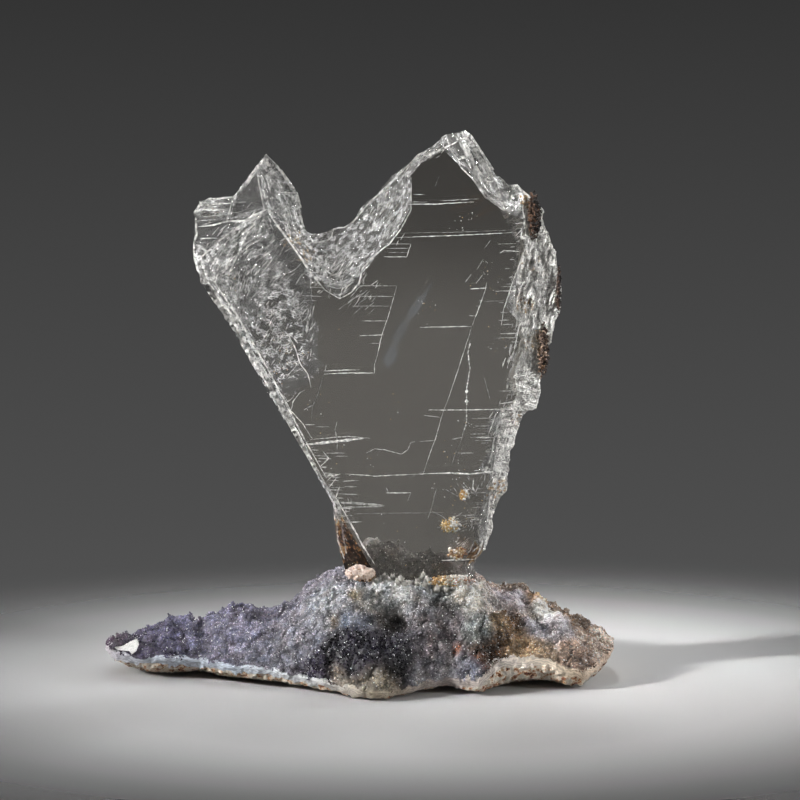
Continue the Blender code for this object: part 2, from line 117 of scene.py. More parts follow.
# The band's colour along x, and the colours of the rind below it, from one patch to the next.
BAND_COLOURS = [
    (-121, "CEC6CA"), (-100, "CED4DE"), (-60, "CAD2DE"), (-20, "D8D8D8"), (8, "CFC0A8"),
    (40, "BCB0AC"), (78, "E8DCCE"), (100, "DECAB0"), (121, "DCC2AE"),
]
RIND_COLOURS = [
    (0.32, "2A0F0A"), (0.4, "6A331C"), (0.44, "A9713F"), (0.48, "C9B49C"), (0.56, "DDD6CA"),
    (0.66, "B7AA9C"), (0.75, "8A7560"),
]

# Colours of the druse where it changes, as (x, y, z, reach, colour). Some zones are painted shade,
# marked below.
DRUSE_ZONES_WITH_SHADE = [
    (-114, -6, 16, 9, "524450"), (-95, -13, 17, 17, "554A66"), (-86, -7, 23, 16, "706E8C"),
    (-60, -14, 24, 18, "928DA4"), (-45, -26, 12, 11, "8C8A98"), (-28, -22, 26, 14, "8F8C98"),
    # The dark low front of the dome, in this line's last zone and all of the next line: dark amethyst,
    # deepened with painted shade.
    (-16, -20, 40, 11, "C8C8CE"), (-13, -26, 34, 8, "A6A4AA"), (1, -48, 14, 16, "1C1528"),
    (-8, -40, 18, 9, "17111E"), (-18, -42, 10, 9, "322840"), (16, -46, 15, 5, "0C0A0E"),
    # Painted shadow beside the ridge, at (-8, -30, 33).
    (40, -24, 40, 6, "4A4846"), (-8, -30, 33, 5, "5A5048"), (-5, -50, 6, 5, "CCC0AE"),
    (14, -22, 44, 12, "D2D2CF"), (4, -34, 31, 5, "82869A"), (-6, -33, 34, 4, "80889A"),
    # Painted shade: the near-black hollow under the dome's front, at (16, -32, 33), and its dark
    # surround.
    (16, -32, 33, 7, "0E0A08"), (12, -29, 35, 9, "4A423C"), (6, -30, 38, 5, "8A8682"),
    (-1, -27, 43, 3, "B5A488"), (-10, -33, 33, 3, "A8987E"), (30, -30, 33, 10, "807C7E"),
    (25, -36, 24, 7, "464250"), (36, -35, 25, 10, "7C7476"), (51, -18, 45, 8, "E0DACF"),
    (38, -20, 46, 6, "C0C8CE"), (72, 0, 35, 9, "D6CED4"), (89, -8, 31, 6, "FFFCF4"),
    (62, -14, 38, 6, "B8B0AA"), (71, 5, 37, 5, "6B5240"), (84, 1, 34, 5, "B5946E"),
    (100, 0, 28, 6, "6B5642"), (74, -24, 29, 6, "57402A"), (68, -26, 27, 5, "BCA58C"),
    # Painted shade in the hollow by the nest, at (80, -29, 17).
    (77, -31, 18, 8, "C4A98C"), (80, -29, 17, 3, "4E4036"), (61, -37, 18, 8, "4A3220"),
    (68, -31, 25, 4, "3A2A1C"), (56, -31, 25, 6, "989C9A"), (38, -41, 9, 9, "A8A4A8"),
    (47, -36, 20, 2.5, "A2603A"), (52, -40, 9, 7, "8C8A9A"), (116, -14, 16, 9, "FFE6D4"),
    (94, -19, 26, 8, "BDB6B8"), (84, -22, 27, 6, "A8A6B2"), (101, -29, 15, 9, "A08C80"),
    (88, -30, 12, 8, "B09C88"), (8, -52, 7, 8, "D8CCB8"), (-8, -44, 11, 5, "BEB2A2"),
    (20, -8, 49, 18, "A9A8AA"), (0, 30, 40, 40, "8A8490"), (80, 25, 25, 30, "8E7E72"),
    (-70, 12, 25, 30, "76708A"), (12, 14, 51, 13, "120C08"), (36, 14, 50, 13, "120C08"),
    (25, 12, 53, 12, "140E0A"), (4, 12, 54, 8, "140E0A"), (8, 9, 68, 7, "FFFFFF"),
    (36, 9, 67, 7, "FFFFFF"), (22, 9, 67, 7, "F4F0EA"),
]

# Where the druse's points are larger than elsewhere, as (x, y, z, reach, times as large).
COARSE_DRUSE = [
    (16, -16, 50, 12, 3.0), (-16, -14, 44, 12, 2.2), (57, 8, 44, 9, 2.4), (75, 10, 38, 10, 2.6),
    (88, 6, 33, 10, 2.4), (40, -15, 48, 10, 2.0), (0, -48, 14, 14, 1.5), (14, 24, 52, 16, 2.0),
    (90, -8, 31, 6, 1.7), (77, -30, 18, 6, 0.7), (-80, 25, 18, 20, 1.2), (60, 35, 25, 24, 1.8),
]

# The druse's crystals: how much they lean at random, and how wide and tall the points painted
# near-white as glints are against the others.
CRYSTAL_LEAN = 0.38
GLINT_POINT_WIDTH, GLINT_POINT_HEIGHT = 0.6, 1.7

# The small growths: the CAD lump, the finish, how much of the lump's core is kept and how far it
# is shifted in x, y and z, how far its grains lie apart, how rough it is, the size of its grains,
# how densely they cover it, and their colours from left to right.
GROWTHS = [
    ("calcite_nodule", "calcite", (0.82, 0.82, 0.8), (0, 0, 2.6), 0, 1.7, 1.2, 0.5,
     ["D8C4B6", "E2D4C8", "B4957E"]),
    ("foot_crust", "sugary_calcite", (0.62, 0.62, 0.5), (0, 0, -0.6), 0.75, 1.4, 1.0, 3.4,
     ["D2A060", "EEC88C", "E2B270", "F2E4D0", "FBF4E8", "FFFFFF", "F2E0D4", "B88874"]),
    ("honey_cluster_upper", "honey_calcite", (0.45, 0.45, 0.45), (0, 0, 0.5), 0.8, 0.8, 1.2, 5.0,
     ["E0BC80", "D6AE70", "FBF4E4", "FFFFFF"]),
    ("honey_cluster_middle", "honey_calcite", (0.45, 0.45, 0.45), (0, 0, 1.2), 0.8, 0.8, 1.2, 5.0,
     ["E0BC7C", "ECCE9A", "FBF4E4", "FFFFFF"]),
    ("honey_cluster_lower", "honey_calcite", (0.45, 0.45, 0.45), (0, 0, 0.5), 0.8, 0.8, 1.2, 4.0,
     ["C9A888", "F4EADC", "E6C698", "B08060"]),
    ("iron_crust_shoulder", "iron_oxide", (0.5, 0.8, 0.9), (-3, 0, -0.5), 0.4, 2.4, 1.1, 2.2,
     ["6A4E3C", "3A281C", "201610", "120C08"]),
    ("iron_crust_side", "iron_oxide", (0.3, 0.8, 1.1), (-1.5, 0, 0), 0.15, 1.2, 0.9, 1.8,
     ["4A3426", "2E2018", "1A120E", "120C08"]),
    ("iron_crust_waist", "iron_oxide", (0.5, 0.7, 0.85), (-2, 0, 0), 0.4, 2.4, 1.1, 1.4,
     ["9C8674", "4E3A2C", "261A14", "3E2E24"]),
]

# Rounded quartz points along the foot of the blade: from and to in x, from and to in y, how high
# their feet lie at the front, how much that rises backwards, and how many.
FOOT_QUARTZ = [(7, 33, -19, -12, 46.5, 0.45, 44), (31, 47, -19, -12, 44.5, 0.4, 26)]

# The thin flake on the left arm, as it is seen in (x, z), and how thick it is.
FLAKE = [
    (-115, 14.5), (-111, 15), (-108, 17), (-104.5, 18.5), (-103.5, 16), (-104.5, 13),
    (-106.5, 11.5), (-108, 13), (-111.5, 13), (-114, 13.5),
]
FLAKE_THICKNESS = 2.56

# Lines on the blade's front as (x, z) points: where its facets meet, and the middle of each
# broken band, which the grain of the fracture follows.
APEX = (-42.4, 222.7)
LEFT_EDGE = [(-9, 60), (-13, 84), (-27, 110.5), (-40, 133), (-59, 168.5), (-70, 187), (-75, 199)]
RIBBON = [
    (-41, 243), (-36, 226), (-31, 214), (-22, 201), (-9, 197), (5, 209), (14, 222), (21, 236),
    (31, 247), (47, 256),
]
RIGHT_PEAK = [(47, 256), (57, 243), (68, 226)]
RIGHT_RIM = [
    (71, 234.5), (78, 231.5), (86, 218.5), (91, 204), (94.5, 184), (94, 175), (90.5, 168), (87, 151.5),
    (84, 143.5), (84, 132.5), (77.5, 126), (72, 112), (68, 98), (64, 84), (58, 66),
]

# How wide the left edge is. On the etched right side: where it starts at its foot, the foot's
# height, how far its start leans, how high it reaches, how wide its white rim is, and from what
# height its grain is silky and which way that runs in (x, z).
LEFT_RIM = 6.5
ETCHED_START, ETCHED_FOOT, ETCHED_LEAN, ETCHED_TOP = 57, 42, 0.115, 224
ETCHED_RIM = 4.5
SILK_FROM = 148
SILK = (0.26, 0.966)

# Broken areas of the blade's front, as an outline of (x, z) points, what its grain follows, and
# how white it is. The first that holds a point counts.
BROKEN_AREAS = [
    ([(-46.5, 238.5), (-42.8, 223.6), (-58.5, 218), (-56.2, 226.5)], "level", 0.0),
    ([(42, 257), (46, 256.5), (51, 247), (48.5, 245.5), (43, 251.5)], "level", 0.12),
    ([(-41.8, 221.5), (-24, 196), (-27, 187), (-40, 208)], "level", 0.03),
    ([(-79, 230), (-56.6, 230), (-58.5, 217.6), (-79, 215.6)], "ledges", 0.75),
    ([(-79, 215.6), (-58.5, 217.6), (-50, 219), (-71, 202), (-79, 202)], "level", 0.06),
    ([(-42.4, 223.5), (-64, 214.5), (-74, 201), (-72, 195), (-58, 196)], "fan", 0.8),
    ([(-42.4, 222), (-58, 196), (-54, 172), (-47, 168), (-44, 196), (-40, 214)], "fan", 0.42),
    ([(-76, 205), (-58, 200), (-40, 210), (-22, 190), (-18, 150), (-30, 136), (-50, 140)],
     "speckles", 0.75),
]

SPECKLES = BROKEN_AREAS[-1][0]
SPECKLE_FADE = 9.0

# Marks on the blade's front, as it is seen: a run of (x, z) points, a width and a brightness.
# These are the open cleavages of the left half.
LEFT_CLEAVAGES = [
    ([(-24.5, 112), (-15, 113), (3, 115)], 1.5, 1),
    ([(-22, 114.5), (-4.5, 116), (6, 115)], 0.4, 0.7),
    ([(-15.5, 147), (-3.5, 147.5), (1, 147.5)], 0.5, 0.8),
    ([(-15.5, 145.5), (-6, 146), (8, 146)], 0.5, 1),
    ([(-14.5, 150), (-15, 147)], 0.5, 0.6),
    ([(8, 150.5), (8, 146)], 0.5, 0.7),
    ([(-15.5, 145.5), (-19, 134.5), (-21, 130), (-21.5, 123.5)], 0.3, 0.35),
    ([(-9.5, 123), (-10.5, 119), (-9.5, 114), (-9.5, 109.5)], 0.4, 0.6),
    ([(-14.5, 108), (-6, 108)], 0.35, 0.6),
    ([(-10.5, 106.5), (-4.5, 106.5)], 0.3, 0.5),
    ([(4, 108), (8, 110), (13, 109.5), (20.5, 107.5), (23.5, 109.5), (25, 113),
      (27, 113.5)], 0.35, 0.7),
    ([(-5.5, 98), (2, 97.5), (8, 97), (19, 97.5), (29, 98)], 0.45, 0.9),
    ([(29, 98), (43, 98.5), (52.5, 98), (62, 99), (70, 99.5)], 0.8, 1),
    ([(13.5, 89), (25, 89)], 0.6, 0.8),
    ([(25, 89), (23.5, 85)], 0.3, 0.4),
    ([(13.5, 91.5), (14.5, 89)], 0.6, 0.5),
    ([(-8, 84.5), (12.5, 83)], 1.3, 0.5),
    ([(-8, 82), (12.5, 82.5)], 0.8, 0.45),
    ([(-8.5, 75), (2, 75)], 0.7, 0.8),
    ([(-1, 79), (40.5, 79.5)], 0.3, 0.3),
    ([(39.5, 56.5), (54.5, 57)], 0.8, 1),
]

# Stacks of short cleavages, closed by a steep one.
COMBS = [
    ([(2, 170.5), (13.5, 170.5)], 0.35, 0.7),
    ([(1, 163.5), (12.5, 164)], 0.4, 0.8),
    ([(5.5, 160), (11.5, 160)], 0.3, 0.4),
    ([(-1.5, 187), (18, 187)], 0.3, 0.6),
    ([(-0.5, 182), (16.5, 182)], 0.35, 0.7),
    ([(-2.5, 177.5), (15, 177.5)], 0.3, 0.55),
    ([(18.5, 187), (14.5, 173), (11.5, 164), (9, 153), (8, 149.5)], 0.4, 0.8),
    ([(11.5, 206.5), (25, 206.5)], 0.3, 0.5),
    ([(13.5, 204.5), (24.5, 204.5)], 0.3, 0.5),
    ([(14.5, 202.5), (24, 202.5)], 0.25, 0.4),
    ([(12.5, 200.5), (23, 200.5)], 0.45, 0.8),
    ([(25, 206.5), (23, 200.5)], 0.4, 0.8),
    ([(-24.5, 186.5), (-15, 186)], 0.3, 0.5),
    ([(-25.5, 182.5), (-16.5, 182)], 0.3, 0.5),
    ([(-25, 180), (-18.5, 180)], 0.3, 0.4),
]

# Open cleavages of the right half.
RIGHT_CLEAVAGES = [
    ([(24, 225), (35, 225), (54, 226)], 0.5, 0.9),
    ([(24, 226), (32.5, 226)], 0.3, 0.6),
    ([(38.5, 226.5), (56.5, 227.5)], 0.4, 0.7),
    ([(18, 209.5), (46.5, 210.5), (66.5, 211.5), (74, 212)], 0.45, 0.9),
    ([(20, 211.5), (46.5, 212), (73, 213)], 0.25, 0.4),
    ([(50, 188.5), (53, 192.5)], 0.4, 0.6),
    ([(55, 188), (59, 193)], 0.4, 0.6),
    ([(55.5, 194.5), (58.5, 199.5)], 0.35, 0.5),
    ([(59, 204.5), (62, 208.5)], 0.3, 0.4),
    ([(36, 233), (38, 238)], 0.25, 0.3),
    ([(26, 229.5), (31.5, 229.5)], 0.4, 0.7),
    ([(52.5, 185.5), (60, 186)], 0.6, 0.9),
    ([(60, 188.5), (59.5, 185), (57, 178), (53.5, 168.5)], 0.45, 0.9),
    ([(56.5, 180), (58.5, 180)], 0.3, 0.6),
    ([(55, 177.5), (57, 177.5)], 0.3, 0.5),
    ([(52, 173), (55.5, 173)], 0.35, 0.6),
    ([(53.5, 168.5), (47, 147.5), (43, 135.5), (40, 127.5)], 0.35, 0.7),
    ([(40, 127.5), (36.5, 115), (34.5, 109.5), (30.5, 97.5)], 0.35, 0.7),
    ([(31, 99.5), (24.5, 96)], 0.2, 0.2),
    ([(66, 202), (68, 203.5), (76, 203)], 0.4, 0.8),
    ([(66.5, 186.5), (85, 187)], 0.35, 0.6),
    ([(68, 184.5), (78, 185)], 0.6, 0.95),
    ([(33, 128.5), (50.5, 128.5), (74, 129)], 0.55, 0.95),
    ([(31, 126), (38.5, 125)], 0.35, 0.5),
    ([(29, 167.5), (53.5, 168)], 0.45, 0.85),
    ([(29, 113.5), (36, 114)], 0.3, 0.5),
    ([(44, 114.5), (49, 115.5)], 0.7, 0.5),
    ([(53, 115.5), (64, 115.5)], 0.45, 0.8),
    ([(55, 114), (64, 114)], 0.3, 0.5),
    ([(47, 108), (54.5, 108)], 0.35, 0.6),
    ([(37.5, 92), (36, 87.5), (34.5, 81), (33, 76.5)], 0.3, 0.55),
    ([(52.5, 162), (51.5, 155.5), (52.5, 148), (51, 139), (51, 123.5)], 0.3, 0.7),
    ([(51, 123.5), (49.5, 118), (48.5, 114)], 0.25, 0.5),
    ([(48.5, 114), (45.5, 107), (44, 102)], 0.2, 0.4),
    ([(41, 91), (44, 89), (47, 87.5)], 0.3, 0.5),
    ([(43.5, 74.5), (39.5, 78), (35, 80)], 0.25, 0.4),
    ([(62, 133.5), (59, 144)], 0.3, 0.4),
]

# Curved cracks and scratches near the left edge.
CRACKS = [
    ([(-34.5, 163.5), (-32, 164), (-28.5, 157), (-27, 151.5), (-26, 149.5), (-23, 145.5),
      (-21.5, 139)], 0.6, 0.9),
    ([(-32, 164.5), (-29.5, 162.5), (-27.5, 160)], 0.5, 0.8),
    ([(-27.5, 150.5), (-30.5, 147), (-33.5, 143.5)], 0.4, 0.6),
    ([(-35.5, 136.5), (-33.5, 133), (-31, 128), (-25.5, 122), (-22, 116), (-21, 115)], 0.5, 0.9),
    ([(-31, 128), (-30, 132.5), (-27, 136.5), (-24.5, 138)], 0.5, 0.7),
    ([(-34.5, 135.5), (-32.5, 132.5), (-30, 134.5)], 0.5, 0.7),
    ([(-38.5, 159), (-36.5, 162.5)], 0.4, 0.6),
    ([(-36, 159.5), (-38, 156)], 0.4, 0.6),
    ([(-25, 128.5), (-20.5, 131)], 0.6, 0.6),
    ([(-24.5, 121.5), (-20, 121.5)], 0.5, 0.7),
    ([(-19.5, 120.5), (-13.5, 120.5)], 0.3, 0.5),
    ([(-17.5, 101.5), (-13.5, 105.5), (-16, 108.5)], 0.7, 0.8),
    ([(-14.5, 94.5), (-12, 97), (-8, 98)], 0.6, 0.9),
    ([(-13.5, 91.5), (-10, 96)], 0.5, 0.8),
    ([(-10.5, 86), (-8.5, 92)], 0.7, 0.9),
    ([(-7.5, 94.5), (0.5, 95)], 0.5, 0.5),
    ([(-6, 92), (-0.5, 92)], 0.7, 0.5),
    ([(-44.5, 192.5), (-38, 201)], 0.5, 0.7),
    ([(-40.5, 188.5), (-35, 195)], 0.4, 0.6),
    ([(-46, 198.5), (-40, 203.5)], 0.4, 0.6),
    ([(-38.5, 185.5), (-31.5, 192)], 0.35, 0.5),
    ([(-28.5, 187.5), (-25.5, 192.5)], 0.4, 0.5),
    ([(-50, 180.5), (-44.5, 185.5)], 0.35, 0.5),
    ([(-41.5, 204.5), (-49, 210)], 0.3, 0.4),
    ([(-34, 180.5), (-28, 176), (-25.5, 170)], 0.35, 0.5),
    ([(-56.5, 180.5), (-55, 175), (-56.5, 170)], 0.4, 0.5),
    ([(-44.5, 180.5), (-41, 172)], 0.35, 0.45),
]

# Painted highlights: white strips along the edges of the broken facets, where they catch the light.
FACET_EDGE_HIGHLIGHTS = [
    ([(-73.5, 196.5), (-69, 187), (-60, 173), (-51.5, 159.5)], 4.4, 0.42),
    ([(-57, 168.5), (-43, 146), (-25.5, 111), (-16, 95)], 2.8, 0.62),
    ([(-17.5, 97), (-9, 83.5), (-7, 71.5), (-5.5, 59.5)], 2.0, 0.5),
    ([(-75.5, 199.5), (-74, 192), (-69, 182), (-62.5, 173), (-44.5, 145),
      (-26, 110.5), (-18, 96)], 1.2, 0.95),
    ([(-72.5, 197.5), (-66, 188.5), (-55.5, 172.5), (-49, 161), (-41, 146.5), (-24.5, 114),
      (-14.5, 96)], 0.9, 0.9),
    ([(-43.5, 248), (-42.5, 246), (-41, 243.5)], 3.2, 1.0),
    ([(-43, 247), (-46, 243), (-49.5, 237)], 1.6, 0.9),
    ([(-48.5, 238.5), (-52.5, 234), (-55.5, 230)], 2.4, 0.85),
    ([(-37.5, 244.5), (-33, 237), (-28.5, 230)], 1.2, 0.9),
    ([(-41.5, 243.5), (-37.5, 244.5)], 1.0, 0.7),
    ([(-28.5, 230), (-27, 222.5), (-24.5, 212)], 0.7, 0.7),
    ([(-41.5, 248.5), (-46.5, 243), (-51, 236), (-55, 231.5), (-57, 228.5)], 1.3, 1),
    ([(-56.5, 228.5), (-59.5, 228.5), (-68, 228), (-72, 227.5), (-74.5, 226), (-75.5, 223),
      (-75, 219.5), (-74.5, 211.5), (-76, 207.5), (-76, 203.5), (-75.5, 198.5)], 1.2, 0.95),
    ([(-74, 225), (-59, 226)], 0.9, 0.95),
    ([(-73, 223), (-60.5, 223)], 0.8, 0.85),
    ([(-73.5, 219.5), (-61.5, 220.5)], 0.5, 0.6),
    ([(-74, 215), (-67.5, 215.5), (-60, 217.5), (-52.5, 217.5), (-44.5, 221.5),
      (-41.5, 223)], 0.9, 1),
    ([(-73, 209.5), (-63.5, 209.5)], 0.45, 0.7),
    ([(-58, 227.5), (-59, 223), (-60.5, 217.5)], 0.6, 0.8),
    ([(-57.5, 226), (-51.5, 226.5)], 0.35, 0.5),
    ([(-59, 221.5), (-55, 221.5)], 0.5, 0.7),
    ([(-46, 238.5), (-44.5, 230.5), (-43, 223)], 0.45, 0.8),
    ([(-42.5, 223), (-50, 218), (-58.5, 212.5), (-66.5, 206), (-72, 200.5)], 0.5, 0.8),
    ([(-44, 221), (-50, 213), (-54.5, 203.5), (-58, 196), (-60.5, 191.5)], 0.7, 0.95),
    ([(-75.5, 201), (-72, 201), (-69, 204)], 0.8, 0.9),
    ([(-41.5, 223), (-38.5, 217.5), (-33, 210), (-27, 201.5), (-21, 192.5), (-15, 185)], 0.9, 0.9),
    ([(-38.5, 245), (-36, 243), (-30.5, 234), (-28.5, 232.5), (-26, 223), (-24, 212.5)], 1, 0.95),
    ([(-24, 212.5), (-19.5, 212), (-12.5, 214), (-6, 215), (-2, 217.5), (6, 227), (12.5, 232.5),
      (20, 240), (28, 248), (36, 255), (44, 259.5)], 0.7, 0.9),
    ([(-15, 185), (-8, 181), (-2.5, 184), (1, 188.5), (2.5, 195), (9, 202), (15, 206.5), (20, 213),
      (25, 222.5), (25, 237.5)], 0.7, 0.9),
    ([(-13, 188.5), (-6, 187), (-0.5, 192.5)], 0.5, 0.7),
    ([(-20, 198.5), (-11.5, 192), (-2.5, 194)], 0.4, 0.7),
    ([(-8, 181), (-6.5, 187), (-8, 191)], 0.4, 0.7),
    ([(44, 259.5), (49, 260.5), (52.5, 257.5), (59, 248), (65, 239.5), (71.5, 232.5)], 1.3, 1),
    ([(41, 258), (42, 255.5), (43, 250.5), (45.5, 247), (48, 242), (53, 237), (56.5, 232.5),
      (60.5, 228.5), (68.5, 222.5)], 0.8, 0.95),
    ([(49.5, 255.5), (52.5, 248), (56, 240), (57.5, 232.5)], 1.6, 0.9),
    ([(59, 247), (62, 238.5), (65, 230.5), (68, 223)], 2.2, 0.9),
    ([(46, 245.5), (51.5, 247)], 0.6, 0.9),
    ([(60, 231.5), (66.5, 232), (72, 232.5)], 0.5, 0.8),
    ([(71.5, 232.5), (74, 235.5), (77, 235), (79, 232), (82, 229)], 1, 0.95),
]

# Fibres and ledges of the etched right side.
RIGHT_SIDE = [
    ([(48.5, 259.5), (52.5, 253.5), (57, 246.5), (63, 235.5), (68.5, 224)], 3.4, 0.62),
    ([(50, 260.5), (59, 248), (70, 233.5), (74, 234.5)], 1.2, 0.95),
    ([(45.5, 257.5), (49.5, 250.5), (54.5, 238.5), (59.5, 228.5), (66, 223.5)], 2.2, 0.6),
    ([(46.5, 258), (53, 246), (55.5, 238.5), (59.5, 230)], 0.9, 0.9),
    ([(41.5, 256), (45.5, 249.5), (51.5, 241.5), (59, 229.5)], 0.9, 0.6),
    ([(50, 260.5), (44, 260), (39, 257.5), (32, 252), (25.5, 245.5), (22, 240)], 1.3, 0.9),
    ([(43, 251.5), (47, 247), (52, 248)], 0.6, 0.8),
    ([(48, 246.5), (51.5, 247)], 1.0, 0.95),
    ([(80.5, 229.5), (85.5, 222.5), (87.5, 213), (91.5, 202.5), (92.5, 194),
      (94, 181.5), (92, 171)], 1.5, 0.85),
    ([(92, 171), (89.5, 159.5), (86, 149.5), (83.5, 140), (79, 132.5), (74.5, 128.5),
      (71.5, 119)], 1.5, 0.8),
    ([(71.5, 119), (69, 109.5), (70.5, 102), (66, 95.5), (63, 86), (61.5, 76.5),
      (59, 64.5)], 1.6, 0.8),
    ([(75.5, 232.5), (72, 230), (70.5, 225)], 1.0, 0.7),
    ([(73, 233.5), (77.5, 234), (81, 230)], 1.2, 0.8),
    ([(76, 225), (77.5, 217.5), (75.5, 209), (80.5, 209)], 0.8, 0.8),
    ([(75.5, 209.5), (87.5, 208.5)], 1.0, 0.9),
    ([(79, 207.5), (76.5, 200.5), (72.5, 190), (70, 182), (68, 176), (67, 168.5)], 0.5, 0.85),
    ([(82.5, 203.5), (80.5, 195), (78, 184.5), (75.5, 176), (73.5, 166.5)], 0.8, 0.8),
    ([(85.5, 202), (83.5, 194), (80.5, 184.5)], 0.6, 0.7),
    ([(76, 179.5), (78, 177.5), (75, 166.5), (72, 152)], 0.6, 0.8),
    ([(89.5, 202), (87, 194), (84.5, 185.5)], 0.5, 0.6),
    ([(74, 210), (81.5, 210), (87.5, 209.5), (90, 204.5), (92, 198.5)], 1.1, 1),
    ([(82, 222), (79, 217.5), (76, 213), (73, 210)], 0.8, 0.9),
    ([(73, 216), (79, 216.5)], 0.5, 0.8),
    ([(73.5, 213.5), (78, 214)], 0.5, 0.8),
    ([(64, 115), (63, 108.5), (61, 101)], 0.8, 0.9),
    ([(67.5, 114), (65.5, 107), (64, 100)], 0.6, 0.8),
    ([(65, 127.5), (63, 121.5), (61, 116)], 0.5, 0.7),
    ([(66.5, 131.5), (74, 132.5)], 0.6, 0.8),
    ([(66.5, 126.5), (72, 130)], 0.5, 0.7),
    ([(54.5, 96), (54, 91.5), (56, 87.5)], 0.8, 0.8),
    ([(57, 93), (55, 88.5)], 0.4, 0.6),
    ([(62, 76.5), (60, 69), (57.5, 62), (55, 56.5)], 1.2, 0.95),
    ([(70, 99), (69.5, 93), (66, 86), (63, 80), (62, 76.5)], 1.4, 0.95),
]

# Painted highlights: white strips along the edges of the triangular facet at the foot.
FOOT_EDGE_HIGHLIGHTS = [
    ([(-10, 86.5), (-6, 79), (-1.5, 71), (3, 62.5), (8, 54.5)], 0.9, 0.95),
    ([(-11, 86), (-10, 78.5), (-9.5, 67), (-6.5, 56.5)], 1.2, 0.8),
    ([(-9, 78), (-2.5, 78)], 0.5, 0.7),
    ([(-8, 81.5), (-2.5, 81.5)], 0.5, 0.7),
]

# How far a mark reaches in and out of the surface, and how often it is laid on it.
MARK_DEPTH = 0.12
MARK_STEP = 1.5

# Feathery fringes on the blade's front: from where to where in z, the line they start on as
# (x, z) points, how far they reach and which way, how many, and their brightness.
FEATHERS = [
    ([(75, 213), (71, 188), (68, 178), (76, 160), (73, 145), (74, 132)], -11, 44, 0.6),
    ([(64, 128), (61, 118), (63, 108), (57, 99)], -9, 24, 0.6),
    ([(86, 215), (93, 190), (90, 165), (84, 140)], -10, 40, 0.6),
    ([(60, 92), (58, 80), (57, 70)], -9, 16, 0.6),
    ([(-22, 111), (-15, 97), (-9, 84)], 10, 34, 0.75),
    ([(-40, 133), (-31, 117), (-24, 112)], 7, 12, 0.5),
    ([(-9, 84), (-7, 72)], 8, 10, 0.6),
]

# Fields of short strokes on the blade's front, as (x, z, reach along x and along z, direction
# as (x, z), length, how many, width, brightness).
STROKES = [
    (-53, 209, 15, 11, (0.8, 0.6), 6, 150, 0.45, 0.95), (-62, 196, 7, 7, (0.7, 0.7), 4, 60, 0.45, 0.95),
    (-44, 216, 12, 5, (0.85, 0.45), 5, 50, 0.45, 0.95), (-36, 190, 8, 14, (0.75, 0.65), 6, 60, 0.3, 0.7),
    (-54, 184, 9, 12, (0.3, 0.95), 4, 70, 0.45, 0.8), (-40, 168, 6, 14, (0.45, 0.9), 4, 90, 0.5, 0.9),
    (-28, 176, 6, 10, (0.7, 0.7), 5, 40, 0.35, 0.7), (-22, 168, 3, 14, (0.25, 0.97), 6, 36, 0.4, 0.8),
    (-30, 226, 9, 16, (-0.4, 0.9), 4, 130, 0.4, 0.95), (-12, 192, 12, 12, (0.6, 0.8), 5, 110, 0.4, 0.9),
    (0, 184, 8, 9, (0.7, 0.7), 7, 50, 0.35, 0.8), (14, 221, 7, 12, (0.5, 0.85), 6, 80, 0.4, 0.9),
    (31, 248, 9, 3, (0.8, 0.6), 5, 60, 0.4, 0.9), (61, 240, 3, 12, (-0.5, 0.85), 9, 60, 0.5, 0.85),
    (83, 196, 6, 20, (0.2, 0.98), 12, 90, 0.55, 0.9), (80, 168, 7, 16, (0.3, 0.95), 10, 80, 0.5, 0.85),
    (82, 212, 5, 7, (0.9, -0.1), 6, 30, 0.5, 0.9), (74, 142, 6, 16, (0.3, 0.95), 7, 70, 0.5, 0.9),
    (67, 116, 4, 14, (0.35, 0.93), 7, 50, 0.6, 0.9), (62, 92, 4, 14, (0.3, 0.95), 7, 50, 0.5, 0.8),
    (57, 72, 5, 9, (0.4, 0.9), 5, 30, 0.4, 0.7), (87, 180, 4, 12, (0.95, 0.2), 5, 30, 0.5, 0.8),
    (50, 62, 5, 4, (0.7, 0.7), 3, 60, 0.3, 0.9), (-5, 76, 3, 10, (-0.3, 0.9), 3, 30, 0.4, 0.6),
    (44, 74, 7, 4, (0.9, 0.3), 4, 24, 0.3, 0.7), (50, 92, 6, 6, (0.6, -0.7), 4, 24, 0.25, 0.7),
]

# Specks of dust and tiny crystals on the blade's front, as (x, z, reach, how many).
SPECKS = [
    (47, 215, 6, 14), (52, 219, 4, 8), (58, 195, 7, 14), (33, 175, 6, 10), (30, 178, 3, 5),
    (-4, 168, 3, 4), (15, 130, 6, 10), (-3, 105, 9, 12), (6, 103, 6, 10), (45, 105, 10, 22),
    (52, 122, 6, 12), (38, 92, 8, 8), (-20, 128, 8, 10), (-30, 150, 12, 30), (-45, 160, 9, 20),
    (51, 76, 6, 34), (51, 91, 3.5, 14), (46, 66, 4, 22),
    (64, 190, 7, 14), (66, 160, 7, 16), (50, 88, 8, 16), (20, 68, 14, 14), (-58, 188, 6, 12),
]

# The crack in the blade's right half that is beaded with bright gaps. Each gap's length is drawn
# up to LONGEST_BEAD, and none starts closer to the crack's end than BEADLESS_END.
BEADED_CRACK = [(52.5, 160), (51.5, 155.5), (52.5, 148), (51, 139), (51, 130), (51, 122), (49, 116)]
LONGEST_BEAD, BEADLESS_END = 1.7, 2.0

# Faint bluish veils inside the blade, as (points, width, colour).
VEILS = [
    ([(35.5, 189), (33, 185.5), (31, 182.5)], 1.6, "7E8890"),
    ([(32, 183.5), (28.5, 178.5), (25, 173.5), (23.5, 171)], 4.2, "A8B4C0"),
    ([(23.5, 171), (21, 167), (18.5, 162.5), (17.5, 159)], 4.2, "8C96A0"),
    ([(17.5, 159.5), (16, 155), (14.5, 151), (14, 148.5)], 5.4, "A0ACB8"),
]

